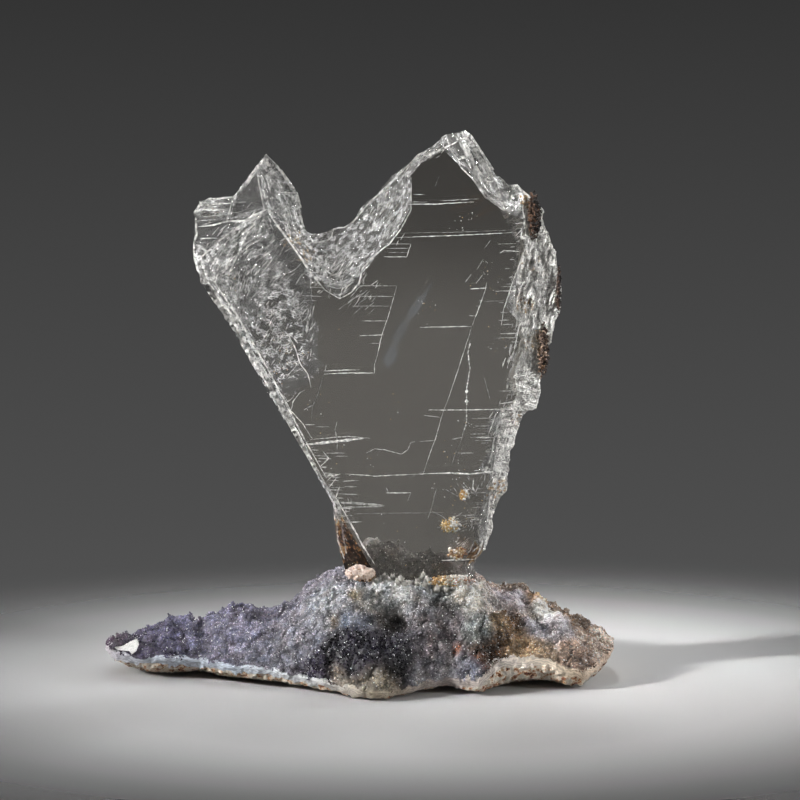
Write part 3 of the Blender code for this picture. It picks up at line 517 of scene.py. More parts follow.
# Brown fibres inside the blade, as (points, width).
STAIN_FIBRES = [
    ([(44, 219), (52, 223), (60, 228)], 0.4), ([(42, 222), (53, 226), (62, 229)], 0.5),
    ([(48, 216), (56, 220), (63, 226)], 0.4), ([(50, 228), (58, 229), (66, 227)], 0.6),
    ([(54, 218), (60, 222), (66, 224)], 0.5), ([(47, 231), (55, 231.5)], 0.4),
    ([(48, 69), (50, 62), (51, 57)], 4.6), ([(51, 68), (53, 61), (53, 57)], 3.2),
    ([(44, 66), (47, 60), (49, 57)], 1.2),
]

# Brown stains in the broken faces, as (x, z, reach, how deep).
STAINS = [
    (-3, 68, 13, 0.48), (0, 54, 13, 0.54), (-30, 208, 7, 0.16), (-24, 201, 6, 0.16),
    (-66, 219, 7, 0.1), (80, 198, 8, 0.14), (84, 160, 9, 0.2), (75, 122, 8, 0.14), (66, 90, 8, 0.2),
    (80, 226, 7, 0.22), (78, 178, 7, 0.2), (-33, 160, 10, 0.1), (53, 60, 7, 0.4),
]

# The softboxes, as (name, place, what each points at, size, power, beam), in metres, watts and
# degrees.
MIDDLE = (0.0, 0.0, 0.12)
SOFTBOXES = [
    ("key left", (-2.1, -0.55, 1.15), (0.05, 0.01, 0.16), (0.12, 0.4), 1.2, 14.5),
    ("top", (-0.1, 0.6, 1.42), MIDDLE, (0.2, 0.14), 7.8, 180),
    ("side right", (1.2, -0.45, 0.55), (0.1, 0.0, 0.21), (0.2, 0.3), 0.3, 15),
    ("back right", (1.1, 0.55, 0.75), (0.1, 0.03, 0.02), (0.2, 0.2), 0.15, 16),
    ("front fill", (0.2, -1.0, 1.3), MIDDLE, (0.6, 0.5), 1.3, 180),
]

# The pool of light painted on the floor: its middle, how much it is squeezed along x, y and z, how far
# out it is darkest, and from where to where the floor fades into the room, in metres.
PAINTED_POOL_CENTRE = (0.03, -0.02, 0.0)
PAINTED_POOL_SCALE = (0.72, 1.0, 1.0)
PAINTED_POOL_END = 0.3
FLOOR_RADIUS = 0.6
FLOOR_FADE = (0.13, 0.29)

# What the camera points at, in metres.
CAMERA_AIM = (0.0199, -0.0035, 0.132)


def linear(hex_colour):
    """A linear colour from an sRGB hex value."""
    channels = [int(hex_colour[i : i + 2], 16) / 255 for i in (0, 2, 4)]
    return [c / 12.92 if c <= 0.04045 else ((c + 0.055) / 1.055) ** 2.4 for c in channels]


def node(tree, kind, settings=None, inputs=None):
    """Adds a node, sets its settings, and sets or links its inputs."""
    made = tree.nodes.new(kind)
    for name, value in (settings or {}).items():
        setattr(made, name, value)
    for name, value in (inputs or {}).items():
        if isinstance(value, bpy.types.NodeSocket):
            tree.links.new(value, made.inputs[name])
        else:
            made.inputs[name].default_value = value
    return made


def ramp(tree, factor, stops):
    """A colour ramp through (position, hex colour) stops."""
    made = node(tree, "ShaderNodeValToRGB", inputs={"Fac": factor})
    elements = made.color_ramp.elements
    while len(elements) < len(stops):
        elements.new(1.0)
    for element, (position, colour) in zip(elements, stops):
        element.position = position
        element.color = (*linear(colour), 1.0)
    return made.outputs["Color"]


def dimmed(colour, share):
    """A colour with only a share of its light."""
    return [channel * share for channel in colour]


def per_size(millimetres):
    """A pattern's scale, from the real size of its waves or cells."""
    return 1 / (millimetres * MM)


def new_material(name):
    """A new node material, its tree and its surface shader."""
    material = bpy.data.materials.new(name)
    material.use_nodes = True
    tree = material.node_tree
    return material, tree, tree.nodes["Principled BSDF"]


def settings_of(context):
    """The property group that holds the user's sizes and colours."""
    return context.scene.selenite_specimen


def place_piece(name, mesh, slot, materials, *replaced):
    """Links a finished mesh into the scene as a piece that rides on the specimen."""
    piece = bpy.data.objects.new(name, mesh)
    bpy.context.scene.collection.objects.link(piece)
    for material in materials:
        mesh.materials.append(material)
    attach(piece, "root")
    if replaced:
        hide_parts(*replaced)
    return piece


def solid_of(name):
    """The CAD node's mesh as a bmesh, with the points that its faces share joined."""
    bm = bmesh.new()
    bm.from_mesh(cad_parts[name].data)
    bmesh.ops.remove_doubles(bm, verts=bm.verts, dist=0.002 * MM)
    return bm


def ridged(point, scale, seed):
    """Ridged noise from 0 to 1, sharp along its crests."""
    p = point / (scale * MM) + Vector((seed, seed * 0.7, seed * 1.3))
    return 1 - abs(noise.noise(p)) * 2


# Selenite blade


def selenite_cleavage(colour):
    """Gypsum split along its perfect cleavage: water-clear, with a haze of inclusions low down."""
    material, tree, shader = new_material("Selenite cleavage")
    place = node(tree, "ShaderNodeTexCoord")
    smears = node(
        tree, "ShaderNodeTexNoise",
        inputs={"Vector": place.outputs["Object"], "Scale": per_size(16.67), "Detail": 6.0},
    )
    gloss = node(
        tree, "ShaderNodeMapRange",
        inputs={"Value": smears.outputs["Fac"], "From Min": 0.35, "From Max": 0.75,
                "To Min": 0.0, "To Max": 0.06},
    )
    axes = node(tree, "ShaderNodeSeparateXYZ", inputs={0: place.outputs["Object"]})
    cloud = node(
        tree, "ShaderNodeTexNoise",
        inputs={"Vector": place.outputs["Object"], "Scale": per_size(62.5), "Detail": 3.0},
    )
    level = node(
        tree, "ShaderNodeMath", {"operation": "MULTIPLY_ADD"},
        {0: cloud.outputs["Fac"], 1: -0.06, 2: axes.outputs["Z"]},
    )
    clear = node(
        tree, "ShaderNodeMapRange", {"interpolation_type": "SMOOTHSTEP"},
        {"Value": level.outputs[0], "From Min": 0.12, "From Max": 0.2, "To Min": 0.95,
         "To Max": 0.996},
    )
    shader.inputs["Base Color"].default_value = (*colour, 1)
    shader.inputs["IOR"].default_value = GYPSUM_IOR
    tree.links.new(clear.outputs["Result"], shader.inputs["Transmission Weight"])
    tree.links.new(gloss.outputs["Result"], shader.inputs["Roughness"])
    return material


def white_lines(tree, grain, length, width, sharpness):
    """Fine cracks in the fracture, as 0 to 1, from cells of a size in millimetres."""
    stretched = node(
        tree, "ShaderNodeVectorMath", {"operation": "MULTIPLY"},
        {0: grain, 1: (per_size(length), per_size(width), per_size(width))},
    )
    warp = node(
        tree, "ShaderNodeTexNoise",
        inputs={"Vector": stretched.outputs["Vector"], "Scale": 0.8, "Detail": 2.0},
    )
    bent = node(
        tree, "ShaderNodeMix", {"data_type": "VECTOR"},
        {"Factor": 0.3, 4: stretched.outputs["Vector"], 5: warp.outputs["Color"]},
    )
    cells = node(
        tree, "ShaderNodeTexVoronoi", {"feature": "DISTANCE_TO_EDGE"},
        {"Vector": bent.outputs[1], "Scale": 1.4},
    )
    line = node(
        tree, "ShaderNodeMapRange", {"interpolation_type": "SMOOTHSTEP"},
        {"Value": cells.outputs["Distance"], "From Min": 0.0, "From Max": sharpness,
         "To Min": 1.0, "To Max": 0.0},
    )
    return line.outputs["Result"]


def stained(tree, clean):
    """The fracture's colour, clean or speckled brown where iron has stained it, and how stained."""
    stain = node(tree, "ShaderNodeAttribute", {"attribute_name": "stain"})
    place = node(tree, "ShaderNodeTexCoord")
    patches = node(
        tree, "ShaderNodeTexNoise",
        inputs={"Vector": place.outputs["Object"], "Scale": per_size(1.613), "Detail": 5.0,
                "Roughness": 0.7},
    )
    amount = node(
        tree, "ShaderNodeMath", {"operation": "ADD"},
        {0: stain.outputs["Fac"], 1: patches.outputs["Fac"]},
    )
    colour = ramp(
        tree, amount.outputs[0],
        [(0.0, clean), (0.68, clean), (0.76, "CBAF88"), (0.86, "7E5C3A"), (0.96, "46301C"),
         (1.0, "1E140C")],
    )
    covered = node(
        tree, "ShaderNodeMapRange",
        inputs={"Value": amount.outputs[0], "From Min": 0.68, "From Max": 0.84},
    )
    return colour, covered.outputs["Result"]


def selenite_fracture():
    """Gypsum broken across its cleavage: clear, netted with white cracks that follow its grain."""
    material, tree, shader = new_material("Selenite fracture")
    grain = node(tree, "ShaderNodeAttribute", {"attribute_name": "grain"})
    frost = node(tree, "ShaderNodeAttribute", {"attribute_name": "frost"})
    coarse = white_lines(tree, grain.outputs["Vector"], 3.6, 1.5, 0.1)
    fine = white_lines(tree, grain.outputs["Vector"], 1.5, 0.75, 0.2)
    both = node(tree, "ShaderNodeMath", {"operation": "MULTIPLY_ADD"}, {0: fine, 1: 0.9, 2: coarse})
    patches = node(
        tree, "ShaderNodeTexNoise",
        inputs={"Vector": grain.outputs["Vector"], "Scale": per_size(3.846), "Detail": 4.0},
    )
    patchy = node(
        tree, "ShaderNodeMapRange",
        inputs={"Value": patches.outputs["Fac"], "From Min": 0.42, "From Max": 0.58},
    )
    broken = node(
        tree, "ShaderNodeMath", {"operation": "MULTIPLY"}, {0: both.outputs[0], 1: patchy.outputs[0]}
    )
    colour, covered = stained(tree, "FBFAF8")
    white = node(
        tree, "ShaderNodeMath", {"operation": "MULTIPLY_ADD", "use_clamp": True},
        {0: broken.outputs[0], 1: frost.outputs["Fac"], 2: covered},
    )
    clear = node(
        tree, "ShaderNodeMapRange", inputs={"Value": white.outputs[0], "To Min": 0.98, "To Max": 0.15}
    )
    ripples = node(
        tree, "ShaderNodeTexNoise",
        inputs={"Vector": grain.outputs["Vector"], "Scale": per_size(1.111), "Detail": 3.0},
    )
    rise = node(
        tree, "ShaderNodeMath", {"operation": "MULTIPLY_ADD"},
        {0: ripples.outputs["Fac"], 1: 0.5, 2: both.outputs[0]},
    )
    bump = node(
        tree, "ShaderNodeBump",
        inputs={"Height": rise.outputs[0], "Strength": 0.45, "Distance": 0.0004},
    )
    tree.links.new(colour, shader.inputs["Base Color"])
    shader.inputs["IOR"].default_value = GYPSUM_IOR
    shader.inputs["Roughness"].default_value = 0.06
    tree.links.new(clear.outputs[0], shader.inputs["Transmission Weight"])
    tree.links.new(bump.outputs["Normal"], shader.inputs["Normal"])
    return material


def selenite_frost():
    """Gypsum's etched, feathery side: white and frosted, with rusty stains in its hollows."""
    material, tree, shader = new_material("Etched selenite")
    grain = node(tree, "ShaderNodeAttribute", {"attribute_name": "grain"})
    frost = node(tree, "ShaderNodeAttribute", {"attribute_name": "frost"})
    feathers = white_lines(tree, grain.outputs["Vector"], 6.0, 0.8, 0.28)
    patches = node(
        tree, "ShaderNodeTexNoise",
        inputs={"Vector": grain.outputs["Vector"], "Scale": per_size(5.882), "Detail": 3.0},
    )
    patchy = node(
        tree, "ShaderNodeMapRange",
        inputs={"Value": patches.outputs["Fac"], "From Min": 0.4, "From Max": 0.62, "To Min": 0.25},
    )
    etched = node(
        tree, "ShaderNodeMath", {"operation": "MULTIPLY_ADD"},
        {0: feathers, 1: 0.75, 2: patchy.outputs["Result"]},
    )
    white = node(
        tree, "ShaderNodeMath", {"operation": "MULTIPLY", "use_clamp": True},
        {0: etched.outputs[0], 1: frost.outputs["Fac"]},
    )
    colour, _ = stained(tree, "FAF8F4")
    clear = node(
        tree, "ShaderNodeMapRange", inputs={"Value": white.outputs[0], "To Min": 0.97, "To Max": 0.1}
    )
    bump = node(
        tree, "ShaderNodeBump",
        inputs={"Height": feathers, "Strength": 0.6, "Distance": 0.0006},
    )
    shader.inputs["IOR"].default_value = GYPSUM_IOR
    shader.inputs["Roughness"].default_value = 0.22
    tree.links.new(clear.outputs[0], shader.inputs["Transmission Weight"])
    tree.links.new(colour, shader.inputs["Base Color"])
    tree.links.new(bump.outputs["Normal"], shader.inputs["Normal"])
    return material


def open_cleavage():
    """Air in a thin open cleavage: a bright, silvery white line, beaded with greyer stretches; the same
    white paints the highlights along the facets' edges.
    """
    material, tree, shader = new_material("Open cleavage")
    tint = node(tree, "ShaderNodeVertexColor", {"layer_name": "tint"})
    place = node(tree, "ShaderNodeTexCoord")
    beads = node(
        tree, "ShaderNodeTexNoise",
        inputs={"Vector": place.outputs["Object"], "Scale": per_size(1.4286), "Detail": 3.0},
    )
    shade = node(
        tree, "ShaderNodeMapRange",
        inputs={"Value": beads.outputs["Fac"], "From Min": 0.36, "From Max": 0.6, "To Min": 0.3,
                "To Max": 1.15},
    )
    colour = node(
        tree, "ShaderNodeVectorMath", {"operation": "SCALE"},
        {0: tint.outputs["Color"], "Scale": shade.outputs["Result"]},
    )
    tree.links.new(colour.outputs["Vector"], shader.inputs["Base Color"])
    shader.inputs["Roughness"].default_value = 0.35
    return material


def inner_veil():
    """A thin cloud of fluid inclusions: hardly more than a bluish breath on the clear gypsum."""
    material, tree, shader = new_material("Veil of inclusions")
    tint = node(tree, "ShaderNodeVertexColor", {"layer_name": "tint"})
    tree.links.new(tint.outputs["Color"], shader.inputs["Base Color"])
    shader.inputs["Roughness"].default_value = 0.6
    shader.inputs["Alpha"].default_value = 0.09
    return material


def inside(x, z, outline):
    """Whether a point is inside a closed outline."""
    found = False
    for (x0, z0), (x1, z1) in zip(outline, outline[1:] + outline[:1]):
        if (z0 > z) != (z1 > z) and x < x0 + (z - z0) * (x1 - x0) / (z1 - z0):
            found = not found
    return found


def along_line(x, z, line):
    """How far along a line its nearest point is, and how far off the line the point lies."""
    best, run = (1e9, 0.0), 0.0
    for (x0, z0), (x1, z1) in zip(line, line[1:]):
        dx, dz = x1 - x0, z1 - z0
        length = math.hypot(dx, dz)
        t = min(1.0, max(0.0, ((x - x0) * dx + (z - z0) * dz) / length**2))
        away = math.hypot(x - x0 - t * dx, z - z0 - t * dz)
        if away < best[0]:
            best = (away, run + t * length)
        run += length
    return best[1], best[0]


def right_edge_start(z):
    """Where the etched right side begins, at a height."""
    return ETCHED_START + max(0.0, z - ETCHED_FOOT) * ETCHED_LEAN


def blade_zone(x, z):
    """Which finish a broken point of the blade takes: 1 fractured, 2 etched."""
    return 2 if x > right_edge_start(z) and z < ETCHED_TOP else 1


def off_outline(x, z, outline):
    """Distance from a point to a closed outline."""
    return along_line(x, z, outline + outline[:1])[1]


def grain_at(x, z):
    """The grain's run and spread at a point of the blade, in millimetres, and how white it is."""
    if blade_zone(x, z) == 2:
        inward = along_line(x, z, RIGHT_RIM)[1]
        white = 0.55 + 0.75 * max(0.0, 1 - inward / ETCHED_RIM)
        if z > SILK_FROM:
            return (SILK[0] * x + SILK[1] * z, SILK[1] * x - SILK[0] * z, white)
        return (x, z - 0.03 * x, white + 0.25)
    run, off = along_line(x, z, LEFT_EDGE)
    if off < LEFT_RIM:
        return (off * 2, run, 1.5 - off * 0.08)
    for outline, follows, white in BROKEN_AREAS:
        if inside(x, z, outline):
            if follows == "fan":
                reach = math.hypot(x - APEX[0], z - APEX[1])
                return (reach, math.atan2(z - APEX[1], x - APEX[0]) * 34, white)
            if follows == "ledges":
                return (x * 0.3, z, white)
            if follows == "speckles":
                white *= min(1.0, off_outline(x, z, outline) / SPECKLE_FADE)
            return (x, z, white)
    run, off = along_line(x, z, RIGHT_PEAK)
    if x > 44 and z > 222:
        return (run * 0.35, off * 1.3, 1.15)
    run, off = along_line(x, z, RIBBON)
    if z > 180:
        return (run * 1.3, off * 1.5, 0.85) if x < -14 else (run, off * 1.8, 0.5)
    return (x, z, 0.35)


def crinkle(point):
    """How far a point of a broken face stands out, in millimetres."""
    x, z = point.x / MM, point.z / MM
    run, spread_across, white = grain_at(x, z)
    grain = Vector((run * 0.4, point.y / MM, spread_across)) * MM
    if blade_zone(x, z) == 2:
        return 1.1 * (ridged(grain, 2.6, 5.0) - 0.6) + 0.35 * (ridged(point, 1.1, 9.0) - 0.5)
    strength = min(1.0, 0.15 + white * 1.4)
    return strength * (0.6 * (ridged(grain, 3.2, 1.0) - 0.6) + 0.25 * (ridged(grain, 1.3, 2.0) - 0.5))


def on_cleavage(face):
    """Whether a face lies in one of the blade's two flat cleavage planes."""
    return all(
        abs(v.co.y / MM - BLADE_FRONT) < FACE_TOLERANCE for v in face.verts
    ) or all(abs(v.co.y / MM - BLADE_BACK) < FACE_TOLERANCE for v in face.verts)


def frosted(face):
    """Whether a face of the front cleavage reaches into the speckled area."""
    if face.normal.y > -0.5:
        return False
    places = [v.co for v in face.verts] + [face.calc_center_median()]
    return any(inside(p.x / MM, p.z / MM, SPECKLES) for p in places)


def refine(bm, longest, rounds):
    """Halves the long edges of the broken faces until they are short enough to crinkle."""
    for _ in range(rounds):
        bm.normal_update()
        long = [
            edge
            for edge in bm.edges
            if edge.calc_length() > longest
            and any(not on_cleavage(face) or frosted(face) for face in edge.link_faces)
        ]
        bmesh.ops.subdivide_edges(bm, edges=long, cuts=1, use_grid_fill=True)
        bmesh.ops.triangulate(bm, faces=[f for f in bm.faces if len(f.verts) > 3])


def finish_of(face):
    """Which finish a face takes: 0 for clear cleavage, or that of its broken zone."""
    middle = face.calc_center_median() / MM
    if on_cleavage(face) and not frosted(face):
        return 0
    return blade_zone(middle.x, middle.z)


def stain_at(x, z):
    """How stained with iron the blade is at a point, from 0 to 1."""
    return max(
        deep * min(1.0, max(0.0, 2 - 2 * math.hypot(x - sx, z - sz) / reach))
        for sx, sz, reach, deep in STAINS
    )


def store_grain(mesh):
    """Keeps the grain, whiteness and stain of each point for the fracture finishes to read."""
    grains, whites, stains = [], [], []
    for vert in mesh.vertices:
        run, spread_across, white = grain_at(vert.co.x / MM, vert.co.z / MM)
        grains += [run * MM, spread_across * MM, vert.co.y * 1.5]
        whites.append(white)
        stains.append(stain_at(vert.co.x / MM, vert.co.z / MM))
    mesh.attributes.new("stain", "FLOAT", "POINT").data.foreach_set("value", stains)
    mesh.attributes.new("grain", "FLOAT_VECTOR", "POINT").data.foreach_set("vector", grains)
    mesh.attributes.new("frost", "FLOAT", "POINT").data.foreach_set("value", whites)


class SELENITE_OT_blade(bpy.types.Operator):
    """The clear blade, with crinkled fractures and its etched right side"""

    bl_idname = "selenite.blade"
    bl_label = "Selenite Blade"

    def execute(self, context):
        chosen = settings_of(context)
        bm = solid_of("selenite_blade")
        refine(bm, chosen.fracture_grain * EDGE_PER_GRAIN, BREAKING_ROUNDS)
        bm.normal_update()
        moves = {
            v: v.normal * crinkle(v.co) * MM * chosen.fracture_relief
            for v in bm.verts
            if not any(on_cleavage(f) for f in v.link_faces)
        }
        for vert, move in moves.items():
            moved = zip(vert.co + move, *BLADE_BOX)
            vert.co = Vector(min(max(along, low), high) for along, low, high in moved)
        for face in bm.faces:
            face.material_index = finish_of(face)
            face.smooth = face.material_index == 1
        mesh = bpy.data.meshes.new("selenite blade")
        bm.to_mesh(mesh)
        bm.free()
        store_grain(mesh)
        finishes = [selenite_cleavage(chosen.clear_colour), selenite_fracture(), selenite_frost()]
        place_piece("blade", mesh, "selenite", finishes, "selenite_blade")
        return {"FINISHED"}


# Small solids, gathered by the thousand


class Cluster:
    """Many small closed solids of one make, gathered into one mesh with a tint for each."""

    def __init__(self):
        self.points, self.faces, self.tints = [], [], []

    def add(self, points, faces, tint):
        """Takes in one solid."""
        start = len(self.points)
        self.points += points
        self.faces += [[start + i for i in face] for face in faces]
        self.tints += [tint] * len(points)

    def mesh(self, name):
        """One mesh of all the solids."""
        made = bpy.data.meshes.new(name)
        made.from_pydata(self.points, [], self.faces)
        tint = made.color_attributes.new("tint", "FLOAT_COLOR", "POINT")
        flat = np.ones((len(self.tints), 4), dtype=np.float32)
        flat[:, :3] = self.tints
        tint.data.foreach_set("color", flat.ravel())
        made.update()
        return made


class SeenSurface:
    """A piece's surface, as it is met along the direction of view."""

    def __init__(self, name, tilt):
        bm = bmesh.new()
        bm.from_mesh(bpy.data.objects[name].data)
        self.tree = BVHTree.FromBMesh(bm)
        bm.free()
        self.ahead = Vector((0, math.cos(tilt), -math.sin(tilt)))

    def place(self, x, z):
        """The surface's point behind (x, z) on the plane of the front, and its normal."""
        start = Vector((x, BLADE_FRONT, z)) * MM
        hit, normal, _, _ = self.tree.ray_cast(start - self.ahead * 0.06, self.ahead, 0.12)
        if hit is None:
            hit, normal, _, _ = self.tree.find_nearest(start)
        return hit, normal


def add_mark(cluster, front, points, width, tint, rng):
    """A thin closed strip that follows the blade's surface and thins out at both ends."""
    run = [Vector((*points[0], 0))]
    for a, b in zip(points, points[1:]):
        count = max(1, math.ceil(math.dist(a, b) / MARK_STEP))
        run += [Vector((*a, 0)).lerp(Vector((*b, 0)), (i + 1) / count) for i in range(count)]
    rings = []
    for i, p in enumerate(run):
        along = run[min(i + 1, len(run) - 1)] - run[max(i - 1, 0)]
        across = Vector((-along.y, 0, along.x)).normalized()
        ends = min(1.0, 0.25 + 3 * min(i, len(run) - 1 - i) / len(run))
        half = across * width * ends * rng.uniform(0.35, 0.62) * MM
        hit, normal = front.place(p.x + rng.uniform(-0.08, 0.08), p.y + rng.uniform(-0.08, 0.08))
        out = normal * MARK_DEPTH * MM
        rings.append([hit - half - out, hit + half - out, hit + half + out, hit - half + out])
    faces = [(3, 2, 1, 0)]
    for i in range(len(rings) - 1):
        for k in range(4):
            here, after = i * 4 + k, i * 4 + (k + 1) % 4
            faces.append((here, after, after + 4, here + 4))
    last = (len(rings) - 1) * 4
    faces.append((last, last + 1, last + 2, last + 3))
    cluster.add([corner for ring in rings for corner in ring], faces, tint)


def add_speck(cluster, place, size, tint, rng):
    """A tiny closed eight-sided grain."""
    axes = [Vector((rng.uniform(-1, 1), rng.uniform(-1, 1), rng.uniform(-1, 1))).normalized()]
    axes.append(axes[0].orthogonal().normalized())
    axes.append(axes[0].cross(axes[1]))
    corners = [place + axis * sign * size * MM for axis in axes for sign in (1, -1)]
    faces = [(0, 2, 4), (2, 1, 4), (1, 3, 4), (3, 0, 4), (2, 0, 5), (1, 2, 5), (3, 1, 5), (0, 3, 5)]
    cluster.add(corners, faces, tint)


class SELENITE_OT_cleavages(bpy.types.Operator):
    """The fine white lines, feathers, specks and veils that show in the clear blade, with painted
    highlights along its facets' edges
    """

    bl_idname = "selenite.cleavages"
    bl_label = "Open Cleavages"

    def execute(self, context):
        chosen = settings_of(context)
        front = SeenSurface("blade", chosen.camera_elevation)
        rng = random.Random(21)
        lines = Cluster()
        # Among these marks, the facets' edges are painted highlights.
        for marks in (LEFT_CLEAVAGES, COMBS, RIGHT_CLEAVAGES, CRACKS, FACET_EDGE_HIGHLIGHTS, RIGHT_SIDE,
                      FOOT_EDGE_HIGHLIGHTS):
            for points, width, bright in marks:
                tint = dimmed(chosen.cleavage_colour, bright)
                add_mark(lines, front, points, width * chosen.cleavage_width, tint, rng)
        self.add_feathers(lines, front, chosen, rng)
        self.add_strokes(lines, front, chosen, rng)
        self.add_beads(lines, front, chosen)
        place_piece("open_cleavages", lines.mesh("open cleavages"), "selenite", [open_cleavage()])
        specks = Cluster()
        speck_colours = [linear("F6F4EF"), dimmed(linear("F6F4EF"), 0.75), linear("C9A66B")]
        for x, z, reach, count in SPECKS:
            for _ in range(count):
                place, _ = front.place(x + rng.gauss(0, reach / 2), z + rng.gauss(0, reach / 2))
                tint = rng.choice(speck_colours)
                add_speck(specks, place, rng.uniform(0.1, 0.32), tint, rng)
        place_piece("specks", specks.mesh("specks"), "selenite", [open_cleavage()])
        veils = Cluster()
        for points, width, colour in VEILS:
            add_mark(veils, front, points, width, linear(colour), rng)
        for points, width in STAIN_FIBRES:
            add_mark(veils, front, points, width, chosen.fibre_colour, rng)
        place_piece("veils", veils.mesh("veils"), "selenite", [inner_veil()])
        return {"FINISHED"}

    def add_feathers(self, lines, front, chosen, rng):
        """Short, nearly level strokes that start on a line and thin out to one side."""
        for start, reach, count, bright in FEATHERS:
            for i in range(count):
                x, z = point_along(start, length_of(start) * (i + rng.random()) / count)
                long = reach * rng.random() ** 2 * rng.uniform(0.5, 1.2)
                x += rng.uniform(-1.5, 1.5)
                points = [(x, z), (x + long, z - abs(long) * 0.03)]
                tint = dimmed(chosen.cleavage_colour, bright * rng.uniform(0.5, 1.0))
                width = rng.uniform(0.25, 0.6) * chosen.cleavage_width
                add_mark(lines, front, points, width, tint, rng)

    def add_beads(self, lines, front, chosen):
        """Short bright gaps, one after another, along the beaded crack."""
        rng = random.Random(34)
        run = 0.0
        while run < length_of(BEADED_CRACK) - BEADLESS_END:
            long = rng.uniform(0.5, LONGEST_BEAD)
            points = [point_along(BEADED_CRACK, run), point_along(BEADED_CRACK, run + long)]
            tint = dimmed(chosen.cleavage_colour, rng.uniform(0.8, 1.25))
            width = rng.uniform(1.5, 3.2) * chosen.cleavage_width
            add_mark(lines, front, points, width, tint, rng)
            run += long + rng.uniform(0.2, 1.3)

    def add_strokes(self, lines, front, chosen, rng):
        """Fields of short strokes, denser towards each field's middle."""
        for x, z, wide, high, (dx, dz), length, count, width, bright in STROKES:
            for _ in range(count):
                ax, az = x + rng.gauss(0, wide / 2), z + rng.gauss(0, high / 2)
                run = length * rng.uniform(0.2, 0.8)
                turn = rng.gauss(0, 0.16)
                bx, bz = ax + run * (dx - dz * turn), az + run * (dz + dx * turn)
                tint = dimmed(chosen.cleavage_colour, bright * rng.uniform(0.45, 1.0))
                thick = width * rng.uniform(0.5, 1.2) * chosen.cleavage_width
                add_mark(lines, front, [(ax, az), (bx, bz)], thick, tint, rng)


def length_of(line):
    """The length of a line of (x, z) points."""
    return sum(math.dist(a, b) for a, b in zip(line, line[1:]))


def point_along(line, run):
    """The point a distance along a line of (x, z) points."""
    for a, b in zip(line, line[1:]):
        length = math.dist(a, b)
        if run <= length:
            return [p + (q - p) * run / length for p, q in zip(a, b)]
        run -= length
    return line[-1]


# Druse mound


def rim_near(x, y):
    """How far inside the mound's plan a point is, and the rim's underside there."""
    best, under = 1e9, 0.0
    for (x0, y0, z0), (x1, y1, z1) in zip(RIM, RIM[1:] + RIM[:1]):
        dx, dy = x1 - x0, y1 - y0
        t = min(1.0, max(0.0, ((x - x0) * dx + (y - y0) * dy) / (dx * dx + dy * dy)))
        away = math.hypot(x - x0 - t * dx, y - y0 - t * dy)
        if away < best:
            best, under = away, z0 + (z1 - z0) * t
    return best, under


def zone_colours(points, cool, warm):
    """The druse's colour at each point, in millimetres, blended between the zones, some of which are
    painted shade.
    """
    zones = np.array([zone[:4] for zone in DRUSE_ZONES_WITH_SHADE])
    colours = np.array([linear(zone[4]) for zone in DRUSE_ZONES_WITH_SHADE])
    away = np.linalg.norm(points[:, None, :] - zones[None, :, :3], axis=2) / zones[None, :, 3]
    weight = np.exp(-(away**2) * 1.7) + 1e-12
    blended = (weight @ colours) / weight.sum(axis=1, keepdims=True)
    grey = blended.mean(axis=1, keepdims=True)
    strength = np.where(blended[:, :1] > blended[:, 2:], warm, cool)
    blended = np.maximum(grey + (blended - grey) * strength, 0)
    light = waves(points, 5.0, 0.0)[:, None] * 0.55 + waves(points, 2.2, 60.0)[:, None] * 0.4
    hue = waves(points, 4.0, 30.0)[:, None] * np.array([0.1, 0.0, -0.1])
    return blended * np.exp(light + hue)


def lumps(points):
    """How far each point, in millimetres, is up a rounded lump: 1 on its top, 0 in a crevice."""
    height = np.zeros(len(points))
    for size, share in ((11.0, 0.6), (5.0, 0.4)):
        far = np.array([noise.voronoi(Vector(p) / size)[0][:2] for p in points])
        rounded = np.sqrt(np.clip((far[:, 1] - far[:, 0]) * 2.2, 0, 1))
        height += share * rounded * (1.15 - 0.4 * far[:, 0])
    return height


def along_x(points, stops):
    """A value at each point, blended between (x, value) stops in millimetres."""
    return np.interp(points[:, 0] / MM, *zip(*stops))


def waves(points, size, shift):
    """Smooth noise at points in millimetres, with waves of a size."""
    return np.array([noise.noise(Vector(p) / size + Vector((shift, 0, 0))) for p in points])


def coarseness(points):
    """How many times larger than usual the druse's crystals are at points in millimetres."""
    times = np.ones(len(points))
    for x, y, z, reach, factor in COARSE_DRUSE:
        away = np.linalg.norm(points - (x, y, z), axis=1) / reach
        times *= 1 + (factor - 1) * np.exp(-(away**2) * 2)
    return times


